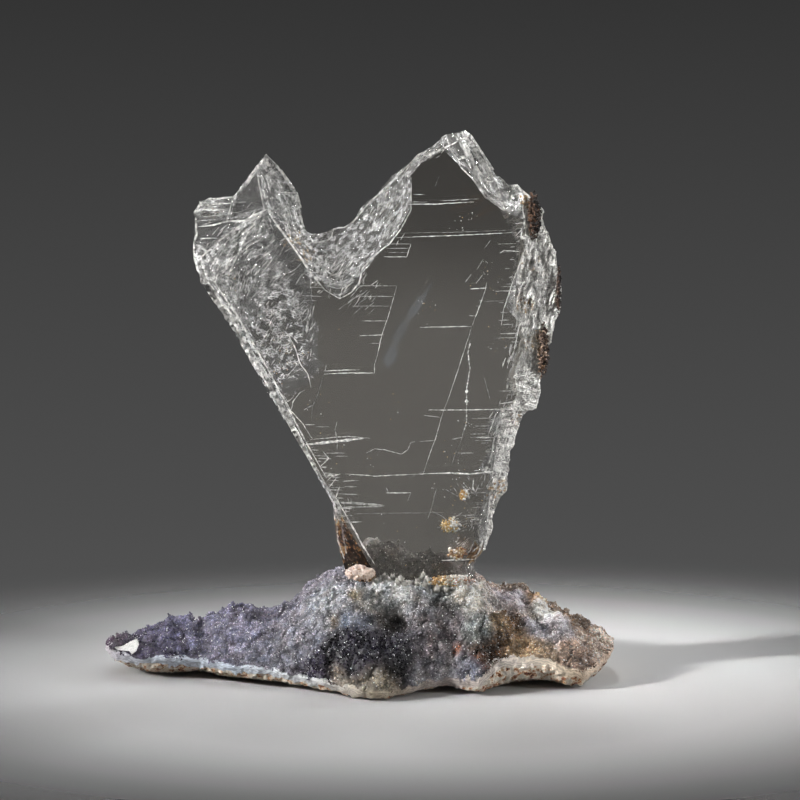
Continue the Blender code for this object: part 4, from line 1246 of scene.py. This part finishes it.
def druse_ground():
    """Chalcedony: waxy under the druse, then a banded bluish rim over a crumbly, rusty rind."""
    material, tree, shader = new_material("Chalcedony")
    place = node(tree, "ShaderNodeTexCoord").outputs["Object"]
    height = node(tree, "ShaderNodeAttribute", {"attribute_name": "level"}).outputs["Fac"]
    for size, rise in BAND_WAVES:
        wave = node(
            tree, "ShaderNodeTexNoise",
            inputs={"Vector": place, "Scale": per_size(size), "Detail": 1.0},
        )
        height = node(
            tree, "ShaderNodeMath", {"operation": "MULTIPLY_ADD"},
            {0: wave.outputs["Fac"], 1: rise * MM, 2: height},
        ).outputs[0]
    lift = sum(rise for _, rise in BAND_WAVES) / 2
    in_rind, in_rim = (
        node(
            tree, "ShaderNodeMath", {"operation": "LESS_THAN"}, {0: height, 1: (limit + lift) * MM}
        ).outputs[0]
        for limit in (BAND_FROM, BAND_TO)
    )
    grain = node(
        tree, "ShaderNodeTexNoise", inputs={"Vector": place, "Scale": per_size(1.111), "Detail": 4.0}
    )
    layers = node(
        tree, "ShaderNodeMath", {"operation": "MULTIPLY_ADD"},
        {0: height, 1: per_size(LAYER), 2: grain.outputs["Fac"]},
    )
    stripes = node(tree, "ShaderNodeMath", {"operation": "SINE"}, {0: layers.outputs[0]})
    shaded = {}
    for layer, source, lowest, highest, darkest, lightest in (
        ("tint", grain.outputs["Fac"], 0.3, 0.7, 0.5, 1.3),
        ("band tint", stripes.outputs[0], -1.0, 1.0, 0.66, 1.05),
    ):
        shade = node(
            tree, "ShaderNodeMapRange",
            inputs={"Value": source, "From Min": lowest, "From Max": highest,
                    "To Min": darkest, "To Max": lightest},
        )
        tint = node(tree, "ShaderNodeVertexColor", {"layer_name": layer})
        shaded[layer] = node(
            tree, "ShaderNodeVectorMath", {"operation": "SCALE"},
            {0: tint.outputs["Color"], "Scale": shade.outputs["Result"]},
        ).outputs["Vector"]
    spots = node(
        tree, "ShaderNodeTexNoise",
        inputs={"Vector": place, "Scale": per_size(2.941), "Detail": 6.0, "Roughness": 0.65},
    )
    rind = ramp(tree, spots.outputs["Fac"], RIND_COLOURS)
    rim = node(
        tree, "ShaderNodeMix", {"data_type": "RGBA"},
        {0: in_rind, 6: shaded["band tint"], 7: rind},
    )
    colour = node(
        tree, "ShaderNodeMix", {"data_type": "RGBA"},
        {0: in_rim, 6: shaded["tint"], 7: rim.outputs[2]},
    )
    rise = node(
        tree, "ShaderNodeMath", {"operation": "ADD"}, {0: grain.outputs["Fac"], 1: spots.outputs["Fac"]}
    )
    bump = node(
        tree, "ShaderNodeBump",
        inputs={"Height": rise.outputs[0], "Strength": 0.7, "Distance": 0.0006},
    )
    shader.inputs["Roughness"].default_value = 0.5
    shader.inputs["IOR"].default_value = QUARTZ_IOR
    tree.links.new(colour.outputs[2], shader.inputs["Base Color"])
    tree.links.new(bump.outputs["Normal"], shader.inputs["Normal"])
    return material


def druse_crystal():
    """Fine quartz and amethyst points: glassy faces that flash, with a little depth of colour."""
    material, tree, shader = new_material("Amethyst and quartz points")
    tint = node(tree, "ShaderNodeVertexColor", {"layer_name": "tint"})
    shader.inputs["Roughness"].default_value = 0.1
    shader.inputs["IOR"].default_value = QUARTZ_IOR
    shader.inputs["Transmission Weight"].default_value = 0.25
    tree.links.new(tint.outputs["Color"], shader.inputs["Base Color"])
    return material


def mound_mesh(pitch):
    """The mound's solid, made an even fine mesh with its points a distance apart."""
    source = bpy.data.meshes.new("mound source")
    bm = solid_of("druse_matrix")
    bm.to_mesh(source)
    bm.free()
    helper = bpy.data.objects.new("mound source", source)
    bpy.context.scene.collection.objects.link(helper)
    remesh = helper.modifiers.new("Even", "REMESH")
    remesh.mode = "VOXEL"
    remesh.voxel_size = pitch
    smooth = helper.modifiers.new("Soften", "SMOOTH")
    smooth.factor = 0.5
    smooth.iterations = SOFTENING
    graph = bpy.context.evaluated_depsgraph_get()
    mesh = bpy.data.meshes.new_from_object(helper.evaluated_get(graph))
    bpy.data.objects.remove(helper)
    return mesh


def points_of(mesh):
    """A mesh's points and normals as arrays."""
    points = np.empty(len(mesh.vertices) * 3, dtype=np.float32)
    mesh.vertices.foreach_get("co", points)
    normals = np.empty(len(mesh.vertices) * 3, dtype=np.float32)
    mesh.vertex_normals.foreach_get("vector", normals)
    return points.reshape(-1, 3).astype(float), normals.reshape(-1, 3).astype(float)


def triangles_of(mesh):
    """The three corners of each of a mesh's triangles, by number."""
    mesh.calc_loop_triangles()
    corners = np.empty(len(mesh.loop_triangles) * 3, dtype=np.int32)
    mesh.loop_triangles.foreach_get("vertices", corners)
    return corners.reshape(-1, 3)


def scattered(points, triangles, pitch, cover, rng):
    """Random places on triangles, their directions outwards, and how many to each pitch squared."""
    a, b, c = (points[triangles[:, i]] for i in range(3))
    outwards = np.cross(b - a, c - a)
    area = np.linalg.norm(outwards, axis=1) / 2
    wanted = area * cover / pitch**2
    counts = (wanted + rng.uniform(size=len(wanted))).astype(int)
    which = np.repeat(np.arange(len(triangles)), counts)
    u, v = rng.uniform(size=(2, len(which), 1))
    over = u + v > 1
    u, v = np.where(over, 1 - u, u), np.where(over, 1 - v, v)
    places = a[which] + (b - a)[which] * u + (c - a)[which] * v
    return places, outwards[which] / (2 * area[which, None]), which


def crystal_arrays(places, normals, radii, heights, rng):
    """Quartz points, one at each place: a six-sided foot under the ground, and a pyramid."""
    count = len(places)
    side = np.cross(normals, rng.normal(size=(count, 3)))
    side /= np.linalg.norm(side, axis=1, keepdims=True)
    other = np.cross(normals, side)
    angles = np.arange(6)[None, :, None] * math.tau / 6 + rng.uniform(-0.3, 0.3, size=(count, 6, 1))
    ring = np.cos(angles) * side[:, None, :] + np.sin(angles) * other[:, None, :]
    ring *= radii[:, None, None] * rng.uniform(0.7, 1.15, size=(count, 6, 1))
    foot = places[:, None, :] + ring - normals[:, None, :] * (heights * 0.5)[:, None, None]
    lean = ring[:, 0] * 0.35
    tip = (places + normals * heights[:, None] + lean)[:, None, :]
    faces = [[5, 4, 3, 2, 1, 0]] + [[i, (i + 1) % 6, 6] for i in range(6)]
    return np.concatenate([foot, tip], axis=1), faces


def crystal_mesh(name, corners, faces, tints):
    """One mesh of all the crystals, each corner with its crystal's tint."""
    count = len(corners)
    sizes = np.array([len(f) for f in faces])
    flat = np.concatenate([np.array(f) for f in faces])
    each = corners.shape[1]
    loops = (flat[None, :] + (np.arange(count) * each)[:, None]).ravel()
    totals = np.tile(sizes, count)
    mesh = bpy.data.meshes.new(name)
    mesh.vertices.add(count * each)
    mesh.vertices.foreach_set("co", corners.astype(np.float32).ravel())
    mesh.loops.add(len(loops))
    mesh.loops.foreach_set("vertex_index", loops.astype(np.int32))
    mesh.polygons.add(len(totals))
    starts = np.concatenate([[0], np.cumsum(totals)[:-1]])
    mesh.polygons.foreach_set("loop_start", starts.astype(np.int32))
    mesh.update(calc_edges=True)
    mesh.validate()
    colours = np.ones((count, each, 4), dtype=np.float32)
    colours[:, :, :3] = tints[:, None, :]
    layer = mesh.color_attributes.new("tint", "FLOAT_COLOR", "POINT")
    layer.data.foreach_set("color", colours.ravel())
    return mesh


def add_tint(mesh, name, colours):
    """Keeps a colour for each point of a mesh."""
    full = np.ones((len(colours), 4), dtype=np.float32)
    full[:, :3] = np.clip(colours, 0, 1)
    mesh.color_attributes.new(name, "FLOAT_COLOR", "POINT").data.foreach_set("color", full.ravel())


class SELENITE_OT_mound(bpy.types.Operator):
    """The mound of chalcedony, with its rim, and the druse that covers it"""

    bl_idname = "selenite.mound"
    bl_label = "Druse Mound"

    def execute(self, context):
        chosen = settings_of(context)
        mesh = mound_mesh(chosen.mound_grain)
        points, level, raised = self.shape(mesh, chosen)
        colours = self.paint(mesh, points, raised, chosen)
        mesh.attributes.new("level", "FLOAT", "POINT").data.foreach_set("value", level * MM)
        mesh.update()
        place_piece("mound", mesh, "druse", [druse_ground()], "druse_matrix")
        self.grow(mesh, points, level, colours, chosen)
        self.add_quartz(chosen)
        seen = SeenSurface("mound", chosen.camera_elevation)
        flake = flake_mesh(seen, chosen.flake_colour)
        place_piece("flake", flake, "calcite", [grain_finish("Calcite flake", 0.5, 0.0)])
        return {"FINISHED"}

    def shape(self, mesh, chosen):
        """Gives the mound its lumps and its rough rind, and finds how high each point is."""
        points, normals = points_of(mesh)
        height = points[:, 2] / MM
        rims = np.array([rim_near(x / MM, y / MM) for x, y, _ in points])
        level = height - rims[:, 1] + np.maximum(0, rims[:, 0] - RIM_WIDTH) * 1.5
        level += along_x(points, RIM_LIFT)
        under = (normals[:, 2] < RIM_DIP) & (height < RIM_TOP)
        hanging = height - rims[:, 1] + along_x(points, RIM_LIFT)
        hanging -= np.where(normals[:, 2] < FLAT_DIP, FLAT_RIND, 0.0)
        level = np.where(under, np.minimum(level, hanging), level)
        rough = waves(points / MM, 2.4, 5.0) + 0.5 * waves(points / MM, 1.1, 9.0)
        relief = np.where(level < BAND_FROM, 1.2, 0.45) * rough
        raised = lumps(points / MM)
        lift = (raised - 0.55) * (chosen.lump_relief / MM) - 1.0
        relief += np.where(level < BAND_TO, 0.0, lift)
        resting = points[:, 2] < 0.3 * MM
        points += normals * (relief * np.where(resting, 0, 1) * MM)[:, None]
        points[:, 2] -= along_x(points, ARM_SLUMP) * np.clip((level - 7) / 10, 0, 1) * MM
        points[:, 2] = np.maximum(points[:, 2], 0)
        mesh.vertices.foreach_set("co", points.astype(np.float32).ravel())
        return points, level, raised

    def paint(self, mesh, points, raised, chosen):
        """Keeps the colours under the druse and of the band, and returns those of the crystals, with
        painted shade darkening the crevices between the lumps.
        """
        # Painted shade: darker in the crevices between the lumps, lighter on their tops.
        painted_crevice_shade = np.clip(0.3 + 1.05 * raised, 0.3, 1.2)[:, None]
        strengths = chosen.druse_saturation, chosen.warm_saturation
        colours = zone_colours(points / MM, *strengths) * painted_crevice_shade
        add_tint(mesh, "tint", colours * 0.6)
        hues = [(x, linear(colour)) for x, colour in BAND_COLOURS]
        band = [along_x(points, [(x, hue[i]) for x, hue in hues]) for i in range(3)]
        add_tint(mesh, "band tint", np.stack(band, axis=1))
        return colours

    def grow(self, mesh, points, level, colours, chosen):
        """Covers the mound above its rim with crystals, in a few pieces."""
        rng = np.random.default_rng(5)
        triangles = triangles_of(mesh)
        middles = points[triangles].mean(axis=1)
        edge = BAND_TO + waves(middles / MM, 5.0, 50.0) * 2.5
        triangles = triangles[level[triangles].mean(axis=1) > edge]
        middles = points[triangles].mean(axis=1) / MM
        pitch = chosen.crystal_pitch * coarseness(middles)
        places, up, which = scattered(points, triangles, pitch, chosen.druse_cover, rng)
        up = up + rng.normal(scale=CRYSTAL_LEAN, size=up.shape)
        up /= np.linalg.norm(up, axis=1, keepdims=True)
        # Painted glints: a share of the points is painted near-white, standing in for the light their
        # faces catch.
        flash = rng.uniform(size=len(which)) < chosen.painted_glint_share
        radii = pitch[which] * rng.uniform(0.4, 0.75, size=len(which))
        radii *= np.where(flash, GLINT_POINT_WIDTH, 1)
        heights = radii * rng.uniform(0.5, 1.1, size=len(which)) * np.where(flash, GLINT_POINT_HEIGHT, 1)
        corners, faces = crystal_arrays(places, up, radii, heights, rng)
        light = np.exp(rng.normal(scale=0.3, size=(len(which), 1)))
        tints = colours[triangles[which, 0]] * chosen.druse_light * light
        tints = np.where(flash[:, None], 0.95, np.clip(tints, 0, 0.9))
        finish = druse_crystal()
        order = np.argsort(places[:, 0])
        for number, share in enumerate(np.array_split(order, DRUSE_PIECES)):
            name = f"druse_{number + 1}"
            crystals = crystal_mesh(name, corners[share], faces, tints[share])
            place_piece(name, crystals, "druse", [finish])

    def add_quartz(self, chosen):
        """Larger, rounded points of greyish quartz in front of the blade's foot."""
        rng = np.random.default_rng(11)
        places = []
        for x0, x1, y0, y1, foot, slope, count in FOOT_QUARTZ:
            x, y = rng.uniform(x0, x1, count), rng.uniform(y0, y1, count)
            places.append(np.stack([x, y, foot + (y - y0) * slope], axis=1))
        places = np.concatenate(places) * MM
        up = np.array([0, -0.45, 0.9]) + rng.normal(scale=0.35, size=places.shape)
        up /= np.linalg.norm(up, axis=1, keepdims=True)
        radii = rng.uniform(1.2, 2.3, size=len(places)) * MM
        heights = radii * rng.uniform(0.9, 1.5, size=len(places))
        corners, faces = crystal_arrays(places, up, radii, heights, rng)
        tints = np.array(chosen.quartz_colour) * rng.uniform(0.6, 1.1, size=(len(places), 1))
        points = crystal_mesh("foot quartz", corners, faces, tints)
        place_piece("foot_quartz", points, "druse", [druse_crystal()])


def flake_mesh(surface, colour):
    """A thin closed slab that lies on the druse, as it is met along the direction of view."""
    low = [surface.place(x, z)[0] for x, z in FLAKE]
    shift = surface.ahead * FLAKE_THICKNESS * MM
    count = len(low)
    faces = [list(range(count)), list(range(2 * count - 1, count - 1, -1))]
    for i in range(count):
        after = (i + 1) % count
        faces.append([after, i, i + count, after + count])
    flake = Cluster()
    flake.add([p - shift for p in low] + low, faces, colour)
    return flake.mesh("flake")


# Small growths


def grain_finish(name, roughness, clear):
    """Small crystals of one mineral: their colour is each grain's own."""
    material, tree, shader = new_material(name)
    tint = node(tree, "ShaderNodeVertexColor", {"layer_name": "tint"})
    place = node(tree, "ShaderNodeTexCoord")
    specks = node(
        tree, "ShaderNodeTexNoise",
        inputs={"Vector": place.outputs["Object"], "Scale": per_size(0.6667), "Detail": 3.0},
    )
    shade = node(
        tree, "ShaderNodeMapRange",
        inputs={"Value": specks.outputs["Fac"], "From Min": 0.3, "From Max": 0.7,
                "To Min": 0.7, "To Max": 1.15},
    )
    colour = node(
        tree, "ShaderNodeVectorMath", {"operation": "SCALE"},
        {0: tint.outputs["Color"], "Scale": shade.outputs["Result"]},
    )
    bump = node(
        tree, "ShaderNodeBump",
        inputs={"Height": specks.outputs["Fac"], "Strength": 0.5, "Distance": 0.0003},
    )
    shader.inputs["Roughness"].default_value = roughness
    shader.inputs["Transmission Weight"].default_value = clear
    tree.links.new(colour.outputs["Vector"], shader.inputs["Base Color"])
    tree.links.new(bump.outputs["Normal"], shader.inputs["Normal"])
    return material


def fine_lump(name, relief, keep, shift):
    """A CAD lump's solid made finer and rougher, shrunk about its middle and shifted a little."""
    bm = solid_of(name)
    bmesh.ops.subdivide_edges(bm, edges=bm.edges, cuts=2, use_grid_fill=True)
    bmesh.ops.triangulate(bm, faces=[f for f in bm.faces if len(f.verts) > 3])
    bm.normal_update()
    middle = sum((v.co for v in bm.verts), Vector()) / len(bm.verts)
    moves = [v.normal * relief * MM * (ridged(v.co, 2.2, 3.0) - 0.5) for v in bm.verts]
    for vert, move in zip(bm.verts, moves):
        vert.co = middle + (vert.co + move - middle) * Vector(keep) + Vector(shift) * MM
    mesh = bpy.data.meshes.new(name)
    bm.to_mesh(mesh)
    bm.free()
    return mesh


class SELENITE_OT_growths(bpy.types.Operator):
    """The calcite nodule, the sugary crusts and the iron oxide"""

    bl_idname = "selenite.growths"
    bl_label = "Small Growths"

    def execute(self, context):
        rng = np.random.default_rng(9)
        finishes = {
            "calcite": grain_finish("Calcite", 0.5, 0.0),
            "sugary_calcite": grain_finish("Sugary calcite", 0.35, 0.2),
            "honey_calcite": grain_finish("Honey calcite", 0.25, 0.3),
            "iron_oxide": grain_finish("Iron oxide", 0.7, 0.0),
        }
        for name, slot, keep, shift, apart, relief, size, cover, palette in GROWTHS:
            core = fine_lump(name, relief, keep, shift)
            colours = np.array([linear(colour) for colour in palette])
            self.paint_core(core, colours[0])
            place_piece(name + "_core", core, slot, [finishes[slot]], name)
            spread = (1 / keep[0] - 1) * apart
            grains = self.grains(name, core, colours, size * MM, cover, spread, rng)
            place_piece(name + "_grains", grains, slot, [finishes[slot]])
        return {"FINISHED"}

    def paint_core(self, core, colour):
        """Colours a core in patches, browner towards its foot."""
        points, _ = points_of(core)
        foot = points[:, 2].min()
        up = np.clip((points[:, 2] - foot) / np.ptp(points[:, 2]) * 4, 0, 1)[:, None]
        patches = np.exp(waves(points / MM, 2.0, 7.0) * 0.5)[:, None]
        brown = 1 - (1 - up) * np.array([0.3, 0.55, 0.75])
        add_tint(core, "tint", colour * patches * brown)

    def grains(self, name, core, colours, size, cover, spread, rng):
        """Small crystals on and around a core, their colours changing from left to right."""
        points, _ = points_of(core)
        places, up, _ = scattered(points, triangles_of(core), size, cover, rng)
        count = len(places)
        middle = points.mean(axis=0)
        places = middle + (places - middle) * rng.uniform(1, 1 + spread, size=(count, 1))
        up = up + rng.normal(scale=0.5, size=up.shape)
        up /= np.linalg.norm(up, axis=1, keepdims=True)
        radii = size * rng.uniform(0.4, 0.75, size=count)
        heights = radii * rng.uniform(0.6, 1.3, size=count)
        corners, faces = crystal_arrays(places, up, radii, heights, rng)
        across = (places[:, 0] - places[:, 0].min()) / np.ptp(places[:, 0])
        pick = across * (len(colours) - 1) + rng.normal(scale=0.9, size=count)
        pick = np.clip(np.rint(pick), 0, len(colours) - 1).astype(int)
        return crystal_mesh(name + " grains", corners, faces, colours[pick])


# Stage


def floor_material():
    """A matt floor with a painted pool of light: pale under the specimen and painted darker away from
    it, where the light falls off.
    """
    material, tree, shader = new_material("Matt paper with painted light pool")
    place = node(tree, "ShaderNodeTexCoord")
    shifted = node(
        tree, "ShaderNodeVectorMath", {"operation": "SUBTRACT"},
        {0: place.outputs["Object"], 1: PAINTED_POOL_CENTRE},
    )
    squeezed = node(
        tree, "ShaderNodeVectorMath", {"operation": "MULTIPLY"},
        {0: shifted.outputs["Vector"], 1: PAINTED_POOL_SCALE},
    )
    away = node(
        tree, "ShaderNodeVectorMath", {"operation": "LENGTH"}, {0: squeezed.outputs["Vector"]}
    )
    shade = node(
        tree, "ShaderNodeMapRange",
        inputs={"Value": away.outputs["Value"], "From Min": 0.0, "From Max": PAINTED_POOL_END},
    )
    # Painted pool of light: the floor's colour is pale at the pool's middle and darker further out.
    colour = ramp(
        tree, shade.outputs["Result"],
        [(0.0, "BEBEBE"), (0.4, "B4B4B4"), (0.62, "8E8E8E"), (0.85, "646464"), (1.0, "505050")],
    )
    shader.inputs["Roughness"].default_value = 0.9
    shader.inputs["Specular IOR Level"].default_value = 0.1
    tree.links.new(colour, shader.inputs["Base Color"])
    clear = node(tree, "ShaderNodeBsdfTransparent")
    fade = node(
        tree, "ShaderNodeMapRange", {"interpolation_type": "SMOOTHSTEP"},
        {"Value": away.outputs["Value"], "From Min": FLOOR_FADE[0], "From Max": FLOOR_FADE[1]},
    )
    mixed = node(
        tree, "ShaderNodeMixShader",
        inputs={0: fade.outputs["Result"], 1: shader.outputs["BSDF"], 2: clear.outputs["BSDF"]},
    )
    output = tree.nodes["Material Output"]
    tree.links.new(mixed.outputs["Shader"], output.inputs["Surface"])
    return material


def add_softbox(name, place, aim, size, power, spread):
    """A softbox that points at a place, with a grid that narrows its beam to some degrees."""
    light = bpy.data.lights.new(name, "AREA")
    light.shape = "RECTANGLE"
    light.size, light.size_y = size
    light.energy = power
    light.spread = math.radians(spread)
    lamp = bpy.data.objects.new(name, light)
    lamp.location = place
    lamp.rotation_euler = (Vector(aim) - Vector(place)).to_track_quat("-Z", "Y").to_euler()
    bpy.context.scene.collection.objects.link(lamp)


def dark_room():
    """A dim grey room, a little lighter low down."""
    world = bpy.data.worlds.new("Dim room")
    world.use_nodes = True
    tree = world.node_tree
    place = node(tree, "ShaderNodeTexCoord")
    axes = node(tree, "ShaderNodeSeparateXYZ", inputs={0: place.outputs["Generated"]})
    height = node(
        tree, "ShaderNodeMapRange",
        inputs={"Value": axes.outputs["Z"], "From Min": -0.24, "From Max": -0.04},
    )
    colour = ramp(
        tree, height.outputs["Result"],
        [(0.0, "525252"), (0.15, "4D4D4D"), (0.55, "434343"), (1.0, "343434")],
    )
    tree.links.new(colour, tree.nodes["Background"].inputs["Color"])
    bpy.context.scene.world = world


class SELENITE_OT_stage(bpy.types.Operator):
    """The floor with its painted pool of light, the studio lights and the camera"""

    bl_idname = "selenite.stage"
    bl_label = "Stage"

    def execute(self, context):
        chosen = settings_of(context)
        bm = bmesh.new()
        bmesh.ops.create_circle(bm, cap_ends=True, segments=96, radius=FLOOR_RADIUS)
        mesh = bpy.data.meshes.new("floor")
        bm.to_mesh(mesh)
        bm.free()
        floor = bpy.data.objects.new("floor", mesh)
        context.scene.collection.objects.link(floor)
        mesh.materials.append(floor_material())
        dark_room()
        for softbox in SOFTBOXES:
            add_softbox(*softbox)
        self.add_camera(context, chosen)
        context.scene.view_settings.view_transform = "Standard"
        return {"FINISHED"}

    def add_camera(self, context, chosen):
        """The camera, looking slightly down along +Y."""
        data = bpy.data.cameras.new("camera")
        data.sensor_width = 36.0
        data.lens = chosen.camera_lens
        camera = bpy.data.objects.new("camera", data)
        tilt = chosen.camera_elevation
        back = Vector((0, -math.cos(tilt), math.sin(tilt)))
        camera.location = Vector(CAMERA_AIM) + back * chosen.camera_distance
        camera.rotation_euler = (math.pi / 2 - tilt, 0, 0)
        context.scene.collection.objects.link(camera)
        context.scene.camera = camera


class SpecimenSettings(bpy.types.PropertyGroup):
    """Sizes and colours that a user may change"""

    fracture_grain: FloatProperty(
        name="Fracture grain", description="Shortest edge on the broken faces",
        default=0.6 * MM, min=0.3 * MM, max=3 * MM, unit="LENGTH", precision=5,
    )
    fracture_relief: FloatProperty(
        name="Fracture relief", description="How strongly the broken faces are crinkled",
        default=1.0, min=0.0, max=3.0, subtype="FACTOR",
    )
    mound_grain: FloatProperty(
        name="Mound grain", description="Spacing of the mound's points",
        default=1 * MM, min=0.6 * MM, max=4 * MM, unit="LENGTH", precision=5,
    )
    crystal_pitch: FloatProperty(
        name="Crystal pitch", description="Distance from one druse point to the next",
        default=1 * MM, min=0.8 * MM, max=5 * MM, unit="LENGTH", precision=5,
    )
    lump_relief: FloatProperty(
        name="Lump relief", description="How far the druse's lumps stand out",
        default=2.4 * MM, min=0.0, max=4 * MM, unit="LENGTH", precision=5,
    )
    druse_cover: FloatProperty(
        name="Druse cover", description="How densely the points cover the mound",
        default=1.05, min=0.2, max=3.0, subtype="FACTOR",
    )
    # Painted glints: the share of the druse's points painted near-white.
    painted_glint_share: FloatProperty(
        name="Painted glint points", description="Share of the druse's points painted near-white as glints",
        default=0.1, min=0.0, max=0.3, subtype="FACTOR",
    )
    druse_light: FloatProperty(
        name="Druse lightness", description="How light the druse's points are",
        default=1.35, min=0.2, max=4.0, subtype="FACTOR",
    )
    druse_saturation: FloatProperty(
        name="Druse saturation", description="How strong the druse's blue tints are",
        default=0.8, min=0.0, max=1.5, subtype="FACTOR",
    )
    warm_saturation: FloatProperty(
        name="Warm saturation", description="How strong the druse's brown tints are",
        default=1.2, min=0.0, max=2.0, subtype="FACTOR",
    )
    cleavage_width: FloatProperty(
        name="Cleavage width", description="How wide the open cleavages are, against their usual",
        default=0.8, min=0.3, max=3.0, subtype="FACTOR",
    )
    clear_colour: FloatVectorProperty(
        name="Selenite", description="Colour of the clear gypsum",
        default=linear("F4EFE6"), min=0.0, max=1.0, subtype="COLOR",
    )
    cleavage_colour: FloatVectorProperty(
        name="Open cleavages", description="Colour of the lines in the clear blade",
        default=dimmed(linear("F6F4EF"), 0.95), min=0.0, max=1.0, subtype="COLOR",
    )
    fibre_colour: FloatVectorProperty(
        name="Fibres", description="Colour of the iron-stained fibres inside the blade",
        default=linear("9A6A3C"), min=0.0, max=1.0, subtype="COLOR",
    )
    quartz_colour: FloatVectorProperty(
        name="Quartz", description="Colour of the points at the blade's foot",
        default=linear("CCC9C2"), min=0.0, max=1.0, subtype="COLOR",
    )
    flake_colour: FloatVectorProperty(
        name="Flake", description="Colour of the flake on the left arm",
        default=linear("D8D6D4"), min=0.0, max=1.0, subtype="COLOR",
    )
    camera_lens: FloatProperty(
        name="Lens", description="Focal length of the camera",
        default=134.3, min=1.0, unit="CAMERA",
    )
    camera_distance: FloatProperty(
        name="Camera distance", description="From the camera to the point it looks at",
        default=1.4, min=0.1, unit="LENGTH",
    )
    camera_elevation: FloatProperty(
        name="Camera elevation", description="Angle of the camera above the horizon",
        default=math.radians(10), unit="ROTATION",
    )


STEPS = (
    SELENITE_OT_blade, SELENITE_OT_cleavages, SELENITE_OT_mound, SELENITE_OT_growths,
    SELENITE_OT_stage,
)


class SELENITE_PT_panel(bpy.types.Panel):
    """Lists the settings and the steps in the sidebar"""

    bl_label = "Selenite on Matrix"
    bl_idname = "SELENITE_PT_panel"
    bl_space_type = "VIEW_3D"
    bl_region_type = "UI"
    bl_category = "Selenite"

    def draw(self, context):
        for name in SpecimenSettings.__annotations__:
            self.layout.prop(settings_of(context), name)
        for step in STEPS:
            self.layout.operator(step.bl_idname)


CLASSES = (SpecimenSettings, *STEPS, SELENITE_PT_panel)


def register():
    """Makes the settings, the steps and the panel known."""
    for item in CLASSES:
        bpy.utils.register_class(item)
    bpy.types.Scene.selenite_specimen = PointerProperty(type=SpecimenSettings)


def unregister():
    """Takes the settings, the steps and the panel away again."""
    del bpy.types.Scene.selenite_specimen
    for item in reversed(CLASSES):
        bpy.utils.unregister_class(item)


def main():
    """Dresses the specimen, sets the stage and keeps the sizes."""
    register()
    bpy.ops.selenite.blade()
    bpy.ops.selenite.cleavages()
    bpy.ops.selenite.mound()
    bpy.ops.selenite.growths()
    bpy.ops.selenite.stage()


if __name__ == "__main__":
    main()
